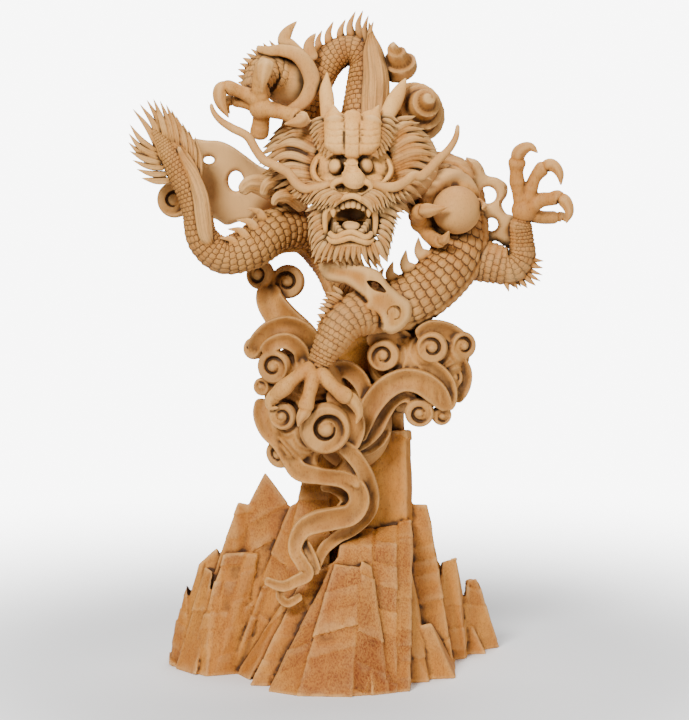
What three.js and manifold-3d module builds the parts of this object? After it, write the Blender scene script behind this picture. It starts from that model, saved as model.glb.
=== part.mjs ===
// A carved wooden dragon, cut from one block: it coils above a post that rises from split rocks,
// with clouds curling under it, a pearl in one claw, and a forked fan for a tail.
// Millimetres, +Z up, +X to the right of the front, and the front looks towards -Y.
import * as THREE from 'three';
import { ConvexGeometry } from 'three/addons/geometries/ConvexGeometry.js';
import { mergeVertices } from 'three/addons/utils/BufferGeometryUtils.js';
import Module from 'manifold-3d';

const wasm = await Module();
wasm.setup();

// Driving dimensions. The front drawing is full size, and is seen from a standing eye: a point on it is
// [across, down, depth], measured from its top left corner, with the depth behind the middle of the block.
const DRAWING_WIDTH = 689;
const DRAWING_HEIGHT = 720;
const EYE_DISTANCE = 2600;
const EYE_TILT = THREE.MathUtils.degToRad(7);
const AIM = { x: -5.6, z: 315 };
const BLOCK_FRONT = -120;
const BLOCK_BACK = 120;
const WOOD = { color: 0xc69a67, roughness: 0.62, metalness: 0 };

const SIDES = { body: 8, leg: 6, toe: 4, strand: 4, thorn: 3, curl: 6 };
const STEP = { body: 30, leg: 26, toe: 24, strand: 34 };
const JOIN_TOLERANCE = 2;
const FINISH = 1;
const SUNK = 0.25;
const TIP = 0.6;
const UP = new THREE.Vector3(0, 1, 0);

// The place in the block of a point on the front drawing.
function drawn(across, down, depth) {
  const right = (across - DRAWING_WIDTH / 2) / EYE_DISTANCE;
  const up = (DRAWING_HEIGHT / 2 - down) / EYE_DISTANCE;
  const eye = { y: -EYE_DISTANCE * Math.cos(EYE_TILT), z: AIM.z + EYE_DISTANCE * Math.sin(EYE_TILT) };
  const reach = (depth - eye.y) / (Math.cos(EYE_TILT) + up * Math.sin(EYE_TILT));
  const rise = up * Math.cos(EYE_TILT) - Math.sin(EYE_TILT);
  return new THREE.Vector3(AIM.x + reach * right, depth, eye.z + reach * rise);
}

// Solids

function solid(geometry) {
  geometry.deleteAttribute('normal');
  geometry.deleteAttribute('uv');
  const merged = mergeVertices(geometry, 1e-3);
  return new wasm.Manifold(
    new wasm.Mesh({
      numProp: 3,
      vertProperties: new Float32Array(merged.attributes.position.array),
      triVerts: new Uint32Array(merged.index.array),
      tolerance: JOIN_TOLERANCE,
    }),
  );
}

function union(solids) {
  let joined = solids[0];
  for (const next of solids.slice(1)) joined = joined.add(next);
  return joined;
}

function smoothCurve(points) {
  return new THREE.CatmullRomCurve3(points, false, 'catmullrom', 0.5);
}

// A route is a list of stations [across, down, depth, radius, turn]. The turn brings the ridge of the
// back from the right-hand side of travel towards the viewer, in degrees.
class Route {
  constructor(stations) {
    this.line = smoothCurve(stations.map(([across, down, depth]) => drawn(across, down, depth)));
    this.facts = smoothCurve(stations.map(([, , , radius, turn = 0]) => new THREE.Vector3(radius, turn, 0)));
    this.spans = stations.length - 1;
  }

  at(t) {
    const along = this.line.getTangent(t);
    const facts = this.facts.getPoint(t);
    const viewer = UP.clone().negate();
    const right = new THREE.Vector3().crossVectors(along, viewer).normalize();
    const front = new THREE.Vector3().crossVectors(right, along).normalize();
    const turn = THREE.MathUtils.degToRad(facts.y);
    const back = right.multiplyScalar(Math.cos(turn)).addScaledVector(front, Math.sin(turn));
    return { point: this.line.getPoint(t), along, back, radius: Math.max(facts.x, TIP) };
  }
}

// A closed round limb along a route. flat narrows it across the ridge of its back.
function limb(stations, sides, step, flat = 1) {
  const route = new Route(stations);
  const steps = Math.max(route.spans, Math.round(route.line.getLength() / step));
  const tube = new THREE.CylinderGeometry(1, 1, 1, sides, steps);
  const place = tube.attributes.position;
  for (let i = 0; i < place.count; i += 1) {
    const t = Math.round((place.getY(i) + 0.5) * steps) / steps;
    const { point, along, back, radius } = route.at(t);
    const side = new THREE.Vector3().crossVectors(along, back);
    point.addScaledVector(side, place.getX(i) * radius * flat);
    point.addScaledVector(back, place.getZ(i) * radius);
    place.setXYZ(i, point.x, point.y, point.z);
  }
  return solid(tube);
}

function ball([across, down, depth], [wide, tall, deep], detail = 6) {
  const sphere = new THREE.SphereGeometry(1, detail, Math.max(3, detail - 3));
  sphere.scale(wide, deep, tall);
  const centre = drawn(across, down, depth);
  sphere.translate(centre.x, centre.y, centre.z);
  return solid(sphere);
}

// A flat plate with its outline and holes on the front drawing, from one depth back to another.
function plate(outline, holes, front, back) {
  const shape = new THREE.Shape(outline.map(([across, down]) => new THREE.Vector2(across, down)));
  shape.holes = holes.map(([across, down, radius, sides]) => {
    const hole = new THREE.Path();
    for (let i = 0; i < sides; i += 1) {
      const angle = (2 * Math.PI * i) / sides;
      hole[i ? 'lineTo' : 'moveTo'](across + radius * Math.cos(angle), down + radius * Math.sin(angle));
    }
    hole.closePath();
    return hole;
  });
  const slab = new THREE.ExtrudeGeometry(shape, { depth: back - front, bevelEnabled: false });
  const place = slab.attributes.position;
  for (let i = 0; i < place.count; i += 1) {
    const point = drawn(place.getX(i), place.getY(i), place.getZ(i) + front);
    place.setXYZ(i, point.x, point.y, point.z);
  }
  return solid(slab);
}

// A flat fringe of points: its roots and its tips are lines on the front drawing, and notch is the share
// of the way out from the roots that the gaps between the points reach in to.
function frill({ roots, tips, count, notch = 0.45, front, back }) {
  const onDrawing = (line) => smoothCurve(line.map(([across, down]) => new THREE.Vector3(across, down, 0)));
  const rootLine = onDrawing(roots);
  const tipLine = onDrawing(tips);
  const edge = [];
  for (let i = 0; i < 2 * count - 1; i += 1) {
    const share = i / (2 * count - 2);
    const reach = i % 2 ? notch : 1;
    edge.push(rootLine.getPoint(share).lerp(tipLine.getPoint(share), reach));
  }
  const inner = rootLine.getPoints(roots.length - 1).reverse();
  return plate([...edge, ...inner].map(({ x, y }) => [x, y]), [], front, back);
}

function pointed(base, tip, radius, sides = SIDES.thorn) {
  const along = tip.clone().sub(base);
  const sunk = base.clone().addScaledVector(along, -SUNK);
  const length = along.length() * (1 + SUNK);
  const cone = new THREE.ConeGeometry(radius, length, sides);
  cone.translate(0, length / 2, 0);
  cone.applyQuaternion(new THREE.Quaternion().setFromUnitVectors(UP, along.normalize()));
  cone.translate(sunk.x, sunk.y, sunk.z);
  return solid(cone);
}

function thorn(base, tip, radius, sides) {
  return pointed(drawn(...base), drawn(...tip), radius, sides);
}

// Thorns along the ridge of a back, from one share of the route to another, leaning towards its end.
function ridge(stations, { from, to, count, length, lean = 0.5, girth = 0.3 }) {
  const route = new Route(stations);
  const thorns = [];
  for (let i = 0; i < count; i += 1) {
    const share = count > 1 ? i / (count - 1) : 0.5;
    const { point, along, back, radius } = route.at(from + (to - from) * share);
    const tall = length * (0.7 + 0.3 * Math.sin(Math.PI * share));
    const base = point.clone().addScaledVector(back, radius * 0.86);
    const tip = base.clone().addScaledVector(back, tall).addScaledVector(along, lean * tall);
    thorns.push(pointed(base, tip, tall * girth));
  }
  return thorns;
}

// A row of points from one place to another, fanning out between two sets of tips.
function fan(roots, tips, count, radius) {
  const rootLine = smoothCurve(roots.map((place) => drawn(...place)));
  const tipLine = smoothCurve(tips.map((place) => drawn(...place)));
  const points = [];
  for (let i = 0; i < count; i += 1) {
    const share = i / (count - 1);
    points.push(pointed(rootLine.getPoint(share), tipLine.getPoint(share), radius));
  }
  return points;
}

// A cloud's curl: a dish with a raised rim and a bead in its middle. yaw and pitch face it right and up.
function curl([across, down, depth], radius, yaw = 0, pitch = 0, thick = 1) {
  const profile = [
    [0, -thick],
    [1, 0.1],
    [0.42, -0.15],
    [0, 0.4],
  ].map(([out, up]) => new THREE.Vector2(out * radius, up * radius));
  const dish = new THREE.LatheGeometry(profile, SIDES.curl);
  dish.rotateX(Math.PI - THREE.MathUtils.degToRad(pitch));
  dish.rotateZ(THREE.MathUtils.degToRad(yaw));
  const centre = drawn(across, down, depth);
  dish.translate(centre.x, centre.y, centre.z);
  return solid(dish);
}

// A cone of cloud wound like a shell, from its wide mouth to its tip.
function shell(mouth, tip, radius, turns) {
  const from = drawn(...mouth);
  const axis = drawn(...tip).sub(from);
  const profile = [[0, 0]];
  for (let i = 0; i < turns; i += 1) {
    const share = i / turns;
    const out = radius * (1 - 0.8 * share);
    profile.push([out, share + 0.04], [out * 0.86, share + 0.85 / turns]);
  }
  profile.push([0, 1]);
  const points = profile.map(([out, up]) => new THREE.Vector2(out, up * axis.length()));
  const cone = new THREE.LatheGeometry(points, SIDES.curl);
  cone.applyQuaternion(new THREE.Quaternion().setFromUnitVectors(UP, axis.normalize()));
  cone.translate(from.x, from.y, from.z);
  return solid(cone);
}

// A split of rock that stands on the ground. Its foot is a list of corners [across, depth] there, and its
// crest is a list of corners [across, down, depth], each with one behind it and a little lower.
function split(foot, crest, thick = 20) {
  const ground = foot.map(([across, depth]) => {
    const eyeHeight = AIM.z + EYE_DISTANCE * Math.sin(EYE_TILT);
    const reach = Math.hypot(depth + EYE_DISTANCE * Math.cos(EYE_TILT), eyeHeight);
    return new THREE.Vector3(AIM.x + ((across - DRAWING_WIDTH / 2) * reach) / EYE_DISTANCE, depth, 0);
  });
  const top = crest.map((place) => drawn(...place));
  const behind = top.map((point) => point.clone().add(new THREE.Vector3(0, thick, -0.25 * thick)));
  return solid(new ConvexGeometry([...ground, ...top, ...behind]));
}

// The dragon's body, from inside the head, over the top, round behind the head and out to the tail.
const BODY = [
  [352, 165, -52, 20, 0],
  [358, 132, -22, 20, -20],
  [366, 95, 4, 21, -20],
  [367, 64, 14, 19, -10],
  [352, 50, 18, 15.5, 0],
  [330, 60, 20, 16, 10],
  [312, 90, 24, 18, 10],
  [302, 132, 34, 21, 0],
  [318, 176, 52, 23, -10],
  [362, 194, 60, 25, -20],
  [415, 180, 48, 27, -10],
  [450, 182, 20, 26, 0],
  [461, 212, -2, 25.5, 10],
  [459, 252, -26, 26.5, 15],
  [430, 287, -42, 27, 15],
  [392, 306, -42, 27, 10],
  [356, 296, -8, 24, 0],
  [334, 262, 20, 22, 0],
  [308, 232, 4, 23, 10],
  [276, 231, -28, 22.5, 20],
  [250, 248, -44, 21, 30],
  [223, 255, -50, 18.5, 45],
  [203, 239, -52, 16, 50],
  [197, 213, -52, 14.5, 45],
  [190, 190, -50, 14, 30],
  [178, 168, -47, 13, 20],
  [164, 146, -45, 9, 10],
  [152, 128, -44, 4, 0],
];
const BODY_SPANS = BODY.length - 1;

// Thorns on the arch of the back and on the tail, from root to tip, with the radius of the root.
const THORNS = [
  [[320, 50, 18], [322, 30, 16], 4],
  [[330, 45, 18], [333.5, 21, 16], 4.5],
  [[342, 42, 18], [345.6, 19, 16], 4.5],
  [[352, 38, 16], [355.5, 11, 14], 4.5],
  [[361, 37, 14], [363, 10, 12], 4],
  [[368, 40, 6], [368.5, 15, 4], 4],
  [[373, 46, 0], [373.5, 21, -2], 4],
  [[264, 223, -47], [246, 208, -52], 5],
  [[256, 232, -53], [236, 220, -59], 5],
  [[247, 240, -58], [227, 229, -63], 5],
  [[237, 248, -61], [219, 238, -65], 4.5],
];

function body() {
  const rows = [
    { from: 8.5, to: 10.5, count: 4, length: 16 },
    { from: 12.6, to: 15.2, count: 6, length: 24, lean: -0.3 },
    { from: 17.2, to: 18.4, count: 3, length: 13, lean: 0.7 },
  ];
  const ridges = rows.flatMap((row) =>
    ridge(BODY, { ...row, from: row.from / BODY_SPANS, to: row.to / BODY_SPANS }),
  );
  return [limb(BODY, SIDES.body, STEP.body), ...ridges, ...THORNS.map((facts) => thorn(...facts))];
}

function tailFan() {
  const web = limb(
    [[194, 192, -50, 11], [185, 174, -49, 13.5], [174, 158, -47, 14], [164, 149, -46, 11], [156, 142, -46, 5]],
    SIDES.leg,
    STEP.leg,
    0.5,
  );
  const strand = limb(
    [[212, 246, -64, 3], [204, 222, -68, 8], [196, 184, -62, 7], [178, 146, -52, 1.5]],
    SIDES.strand,
    STEP.strand,
    0.8,
  );
  const upper = fan(
    [[160, 154, -47], [166, 148, -47], [178, 152, -47], [188, 164, -47], [198, 182, -47]],
    [[132.5, 108.5, -44], [150, 98.5, -43], [166, 104, -42], [179, 119, -41], [195, 136, -40]],
    10,
    4.4,
  );
  const lower = fan(
    [[158, 152, -48], [160, 160, -49], [166, 168, -50], [172, 180, -51]],
    [[129.5, 124, -46], [128, 142, -48], [132, 160, -50], [141, 178, -52]],
    6,
    4.2,
  );
  return [web, strand, ...upper, ...lower];
}

// Legs, each with the ball of its palm, its toes and its knee thorns. The last station of a toe is the
// tip of its claw.
const LEGS = {
  lowerFront: {
    leg: [
      [396, 306, -46, 24], [368, 311, -70, 23], [346, 321, -82, 20], [331, 342, -86, 16],
      [321, 360, -86, 12], [316, 372, -87, 11],
    ],
    palm: [[315, 374, -90], [10, 10, 9]],
    toes: [
      [
        [316, 368, -90, 8], [300, 375, -96, 7.4], [284, 388, -99, 8.2], [271, 401, -94, 5.6],
        [279, 408, -94, TIP],
      ],
      [[314, 370, -92, 8], [310, 390, -103, 7], [305, 408, -108, 7.8], [298, 427, -109, TIP]],
      [
        [317, 369, -90, 8], [334, 387, -101, 7], [344, 395, -102, 8], [355, 404, -99, 6],
        [356, 424, -99, TIP],
      ],
    ],
    spurs: {
      roots: [[341, 298], [333, 312], [328, 330]],
      tips: [[329, 291], [318.5, 309], [317, 330]],
      count: 5,
      front: -90,
      back: -80,
    },
  },
  upperLeft: {
    leg: [
      [308, 90, 14, 24], [287, 80, -14, 24], [268, 72, -26, 20], [256, 84, -38, 14],
      [259, 97, -44, 11.5], [262, 104, -48, 11],
    ],
    palm: [[261, 108, -51], [12, 11.5, 11]],
    toes: [
      [[262, 104, -50, 8], [260, 80, -63, 7.6], [264, 67, -72, 9], [265, 68, -83, 7], [262, 93, -86, TIP]],
      [[262, 104, -52, 8], [240, 91.5, -57, 6.4], [223, 88, -61, 7.4], [220, 98, -66, 6], [229, 118, -69, TIP]],
      [[260, 108, -48, 8], [240, 101, -44, 6.6], [229, 101, -42, 6], [230, 114, -41, TIP]],
      [[264, 108, -53, 9], [284, 113, -60, 7.2], [299, 118, -67, 8.8], [299, 121.5, -78, 6], [284, 124, -84, TIP]],
      [[262, 110, -46, 9], [260, 126, -40, 9], [258, 140, -36, 7]],
    ],
    spurs: {
      roots: [[284, 66], [266, 64], [253, 74], [250, 92]],
      tips: [[269, 40], [249, 50], [238, 67], [238, 89]],
      count: 6,
      notch: 0.55,
      front: -36,
      back: -24,
    },
  },
  right: {
    leg: [
      [466, 256, -16, 24], [492, 263, -22, 20], [511, 266, -24, 18], [521, 256, -24, 15],
      [522, 240, -24, 12], [521, 226, -25, 11], [523, 216, -26, 11],
    ],
    palm: [[524, 210, -28], [12.5, 12.5, 10.5]],
    toes: [
      [
        [522, 208, -28, 8], [517, 178, -31.5, 7], [517, 162, -33, 8.6], [525, 149, -40, 6],
        [538, 153, -44, TIP],
      ],
      [
        [527, 206, -29, 8], [534, 180, -32, 6.6], [545, 167, -35, 7.4], [556, 168, -40, 5.4],
        [561, 185.5, -43, TIP],
      ],
      [
        [528, 209, -29, 8], [548, 199, -33, 7], [560, 199, -38, 7.4], [569, 210, -45, 5],
        [566, 223.5, -47, TIP],
      ],
      [[527, 213, -26, 8], [550, 217.5, -17, 6.8], [562, 217, -15.5, 5], [566, 222, -17, TIP]],
    ],
    spurs: {
      roots: [[524, 256], [522, 270], [506, 273]],
      tips: [[544, 261], [539, 284], [509, 292]],
      count: 5,
      notch: 0.55,
      front: -34,
      back: -22,
    },
  },
  pearl: {
    leg: [[442, 176, 26, 20], [428, 196, 0, 17], [421, 212, -26, 13], [422, 221, -38, 11]],
    palm: [[422, 222, -42], [12, 11, 11]],
    toes: [
      [[421, 221, -44, 9], [418, 214, -60, 7.8], [426, 211, -76, 7], [448, 207, -84, TIP]],
      [[474, 204, -30, 8], [482, 206, -50, 4.6], [482, 209, -63, TIP]],
      [[424, 226, -38, 9], [434, 239, -56, 7.2], [445, 238.5, -72, 4.8], [449, 231, -79, TIP]],
    ],
    spurs: null,
  },
};

function legs() {
  return Object.values(LEGS).flatMap(({ leg, palm, toes, spurs }) => [
    limb(leg, SIDES.leg, STEP.leg),
    ball(...palm, 5),
    ...toes.map((toe) => limb(toe, SIDES.toe, STEP.toe)),
    ...(spurs ? [frill(spurs)] : []),
  ]);
}

function pearl() {
  return [ball([456.5, 210, -52], [23.5, 23.5, 23.5], 9), ball([449, 202, -28], [31, 33, 24], 7)];
}

// Flames at the joints: smooth flat licks that lie on the shoulder, the hip and beside the right leg.
const FLAMES = [
  {
    route: [
      [256, 48, -30, 3], [282, 50.5, -40, 6], [300, 58, -43, 7.5], [312, 84, -41, 8.5],
      [302, 104, -43, 6.5], [280, 111, -47, 2.5],
    ],
    flat: 1,
  },
  { route: [[302, 62, -28, 10], [290, 49, -30, 9], [285, 38, -29, 7], [297, 21, -27, TIP]], flat: 0.65 },
  { route: [[312, 62, -4, 8], [309, 46, -6, 6], [316, 33, -6, TIP]], flat: 0.6 },
  {
    route: [
      [400, 344, -58, 7], [404, 326, -72, 12], [394, 306, -80, 14], [374, 293, -83, 12],
      [344, 278, -76, 9], [318, 261, -56, 2.5],
    ],
    flat: 0.65,
  },
];
const LATTICE = {
  outline: [
    [460, 155], [471, 160], [480, 161], [484, 173], [499, 178], [508, 188], [501, 204],
    [511, 217], [513, 250], [490, 252], [470, 232], [468, 190], [474, 175],
  ],
  holes: [[487.5, 195, 8.5, 6], [491.5, 224.5, 6, 6], [502, 240.5, 7.5, 3]],
  front: -18,
  back: -6,
};

function flames() {
  const { outline, holes, front, back } = LATTICE;
  const licks = FLAMES.map(({ route, flat }) => limb(route, SIDES.strand, STEP.strand, flat));
  return [plate(outline, holes, front, back), ...licks];
}

// The head faces the viewer: a domed brow, round eyes, a broad nose and a wide open mouth.
const MOUTH = [351, 217, -104];
const BONES = [
  [[352, 158, -54], [30, 34, 34], 7],
  [[352, 140, -62], [39, 19, 24]],
  [[325, 178, -70], [12, 17, 18]],
  [[379, 178, -70], [12, 17, 18]],
  [[352, 191, -80], [30, 13, 24], 7],
  [[353, 181, -101], [13, 10, 11], 7],
  [[352, 189, -96], [18, 6, 10], 5],
  [[351, 222, -62], [26, 27, 24], 7],
];
const FACE = [
  [[334, 116, -66, 9], [335, 136, -84, 10.5], [336, 156, -91, 9]],
  [[352, 116, -70, 8], [352, 138, -88, 10], [352, 160, -95, 7]],
  [[371, 116, -66, 9], [369.5, 136, -84, 10.5], [368, 156, -91, 9]],
  [
    [324, 202, -80, 6], [321, 220, -86, 7], [325, 236, -95, 7], [352, 241, -103, 7],
    [377, 236, -95, 7], [380, 220, -86, 7], [378, 202, -80, 6],
  ],
  [[322, 212, -84, 6], [335, 203, -99, 5.5], [352, 196, -105, 5], [368, 204, -99, 5.5], [380, 212, -84, 6]],
];

function head() {
  const bone = BONES.map((facts) => ball(...facts));
  const face = FACE.map((route) => limb(route, SIDES.strand, STEP.leg));
  const eyes = [ball([336, 166.5, -82], [6.5, 7.5, 16]), ball([366, 166, -82], [6.5, 7.5, 16])];
  const tongue = limb([[351, 228, -72, 10], [351, 221, -88, 9.5], [351, 229, -98, 6]], SIDES.toe, STEP.toe);
  const teeth = [340, 351, 362].map((across) => thorn([across, 200, -101], [across, 212, -103], 4));
  return [union([...bone, ...face]).subtract(ball(MOUTH, [21, 19, 32], 7)), ...eyes, tongue, ...teeth];
}

const HORNS = [
  [[324, 130, -66, 4], [327, 112, -56, 7], [326, 90, -47, 6.5], [327, 72, -40, TIP]],
  [[380, 130, -66, 5], [390, 109, -53, 9], [399, 92, -44, 7], [406, 78, -36, TIP]],
  [[335, 130, -80, 10], [334, 115, -72, 7.5], [333, 104, -66, TIP]],
  [[370.5, 130, -80, 10], [374, 116, -72, 7.5], [379, 105, -66, TIP]],
];

const WHISKERS = [
  [
    [340, 186, -96, 5], [318, 190, -94, 6], [304, 188, -91, 5.5], [292, 178, -86, 5], [284, 170, -82, 5],
    [262, 158, -78, 5], [247, 136, -74, 4.5], [220, 120, -70, 3.6], [211, 103, -68, 1.8],
  ],
  [
    [365, 186, -96, 5], [386, 189, -94, 6], [400, 186, -90, 5.5], [412, 177, -85, 5], [424, 175, -81, 5],
    [438, 160, -78, 4.5], [449, 149, -76, 4], [456, 137, -74, 3], [458, 124, -74, 1.8],
  ],
];

// Hair: a fringe under each brow, a moustache, the beard round the jaw, and the mane that sweeps back.
const HAIR = {
  leftBrow: {
    roots: [[324, 118], [325, 130], [334, 152]],
    tips: [[308, 127], [313, 145], [326, 158]],
    count: 4,
    front: -86,
    back: -70,
  },
  rightBrow: {
    roots: [[380, 118], [379, 130], [370, 152]],
    tips: [[399, 124], [392, 145], [379, 158]],
    count: 4,
    front: -86,
    back: -70,
  },
  leftMoustache: {
    roots: [[326, 190], [336, 194], [346, 196]],
    tips: [[290, 193], [305, 208], [331, 208]],
    count: 4,
    front: -102,
    back: -86,
  },
  rightMoustache: {
    roots: [[359, 197], [370, 194], [380, 190]],
    tips: [[374, 214], [388, 210], [404, 200]],
    count: 4,
    front: -102,
    back: -86,
  },
  beard: {
    roots: [[326, 204], [326, 224], [334, 240], [352, 243], [370, 240], [376, 224], [377, 204]],
    tips: [[307, 211], [310, 240], [316, 264], [350, 262], [380, 270], [391, 240], [399, 216]],
    count: 10,
    notch: 0.5,
    front: -96,
    back: -80,
  },
  leftMane: {
    roots: [[322, 138], [314, 168], [322, 198]],
    tips: [[284, 130], [262, 166], [284, 202]],
    count: 4,
    front: -56,
    back: -36,
  },
  rightMane: {
    roots: [[380, 138], [390, 172], [380, 204]],
    tips: [[416, 118], [440, 162], [410, 218]],
    count: 5,
    front: -60,
    back: -40,
  },
};

function hair() {
  const masses = [
    ball([304, 168, -30], [26, 27, 28]),
    ball([405, 164, -32], [33, 38, 28]),
  ];
  const crest = limb(
    [[373, 128, -42, 13], [375, 104, -22, 15], [376, 76, -10, 14], [373, 52, -4, 10], [370, 30, 1, 3]],
    SIDES.leg,
    STEP.leg,
  );
  return [...masses, crest, ...Object.values(HAIR).map(frill)];
}

// Curls of flame where the tail leaves the mane.
const TUFTS = [
  [[300, 206, -8, 12], [276, 190, -26, 13], [252, 184, -36, 9], [240, 193, -38, 5]],
  [[302, 198, -20, 10], [284, 182, -42, 9], [268, 184, -50, 6], [262, 196, -50, 3]],
  [[306, 206, -34, 10], [290, 196, -52, 8], [277, 198, -58, 5], [273, 206, -58, 2]],
];

// Clouds
const CURLS = [
  [[272.5, 367, -78], 16.5, -20, 0, 1.6],
  [[251.5, 348, -50], 11, -35, 10, 3],
  [[260.5, 387, -68], 9, -30, 0, 3.6],
  [[281.5, 416.5, -92], 13.5, -20, 0, 2],
  [[326, 430, -98], 24.5, 8, -5, 1.4],
  [[277, 455, -66], 14, -35, -10, 1.8],
  [[287, 282, -8], 17, -10, 0, 1.2],
  [[258, 274, -4], 15, -30, 10, 1.2],
  [[383, 356, -66], 16, -5, 0, 1.8],
  [[432, 348, -66], 15.5, 0, 0, 1.8],
  [[464.5, 346, -48], 14, 25, 0, 1.8],
  [[455, 378, -50], 10, 30, 0, 2.4],
  [[419.5, 413.5, -64], 14.5, 0, -5, 3],
  [[443, 416, -56], 10, 20, -5, 2],
  [[173, 200, -8], 18, -15, 0, 1],
  [[296, 372, 4], 16, -150, 0, 2],
  [[424, 356, 18], 17, 165, 0, 1.8],
  [[452, 372, -2], 11, 110, 0, 2.2],
  [[268, 404, -36], 11, -110, 0, 2.2],
  [[300, 428, -14], 13, -160, 0, 2.2],
  [[398, 402, 16], 13, 180, 0, 2.6],
  [[386, 336, 66], 15, 170, 20, 1.6],
  [[340, 338, 62], 12, -165, 15, 1.8],
];
const CLOUD_BANDS = [
  [[270, 284, -4, 12], [272, 304, -14, 15], [290, 328, -32, 17], [310, 350, -46, 16]],
  [[314, 350, -58, 11], [304, 333, -64, 11.5], [288, 326, -66, 11.5], [266, 333, -63, 11], [253, 350, -50, 8.5]],
  [[304, 366, -70, 9], [298, 348, -74, 8], [280, 342, -76, 8], [262, 353, -74, 6]],
  [[330, 372, -62, 9], [350, 371, -62, 9.5], [366, 396, -62, 9], [360, 430, -66, 8]],
  [
    [264, 398, -62, 8], [265, 424, -70, 10], [281, 445, -72, 11], [308, 468, -66, 12], [345, 478, -62, 9.5],
    [358, 491, -58, 10.5], [354, 512, -58, 11], [320, 521, -62, 11.5], [298, 536, -68, 8.5], [296, 553, -76, 7],
    [305, 572, -83, 7], [284, 586, -83, 5], [264, 581, -76, 4],
  ],
  [
    [344, 446, -80, 8], [357, 462, -72, 8.5], [367, 482, -58, 8.5], [372, 505, -38, 8], [360, 522, -42, 8],
    [338, 536, -50, 7], [322, 552, -64, 6], [316, 573, -76, 5],
  ],
  [
    [356, 442, -70, 9], [370, 406, -66, 12], [388, 386, -66, 12], [418, 382, -66, 12.5], [440, 398, -62, 10.5],
    [447, 411, -59, 5],
  ],
  [[417, 400, -60, 6], [396, 397, -56, 8], [380, 420, -57, 9], [362, 440, -68, 9.5], [344, 448, -76, 8]],
  [[372, 340, -56, 12], [400, 336, -54, 14], [430, 330, -58, 12], [462, 340, -42, 10]],
  [[406, 350, -54, 12], [412, 366, -60, 11.5], [434, 370, -62, 11.5], [447, 388, -62, 11], [446, 411, -59, 6]],
  [[456, 358, -46, 9], [464, 376, -42, 9.5], [454, 402, -46, 7]],
];
const BAND_FLAT = 0.8;
const CLOUD_MASSES = [
  [[306, 388, -44], [42, 46, 44]],
  [[298, 428, -56], [25, 34, 34]],
  [[414, 362, -24], [46, 40, 42]],
  [[440, 356, -24], [30, 28, 36]],
  [[446, 386, -34], [14, 22, 24]],
  [[352, 424, -20], [40, 46, 44]],
  [[366, 342, 38], [38, 22, 38]],
];
const SHELLS = [
  [[400, 71, 6], [393, 48, -22], 20, 3],
  [[408, 113, 2], [428, 98, -42], 32, 4],
];
// Two broad ribbons of cloud that pass behind the tail and leave a small and a large gap between them.
const RIBBONS = {
  outline: [
    [193, 138], [220, 141], [240, 153], [262, 168], [290, 178], [300, 196], [300, 216], [262, 214],
    [238, 222], [226, 224], [212, 218], [180, 214], [170, 192], [190, 170],
  ],
  holes: [[208, 159.5, 5, 4], [236, 181, 9.5, 6]],
  front: 2,
  back: 16,
};

function clouds() {
  const { outline, holes, front, back } = RIBBONS;
  return [
    ...CURLS.map((facts) => curl(...facts)),
    ...CLOUD_BANDS.map((route) => limb(route, SIDES.strand, STEP.strand, BAND_FLAT)),
    ...CLOUD_MASSES.map(([centre, radii]) => ball(centre, radii)),
    ...SHELLS.map((facts) => shell(...facts)),
    plate(outline, holes, front, back),
  ];
}

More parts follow.
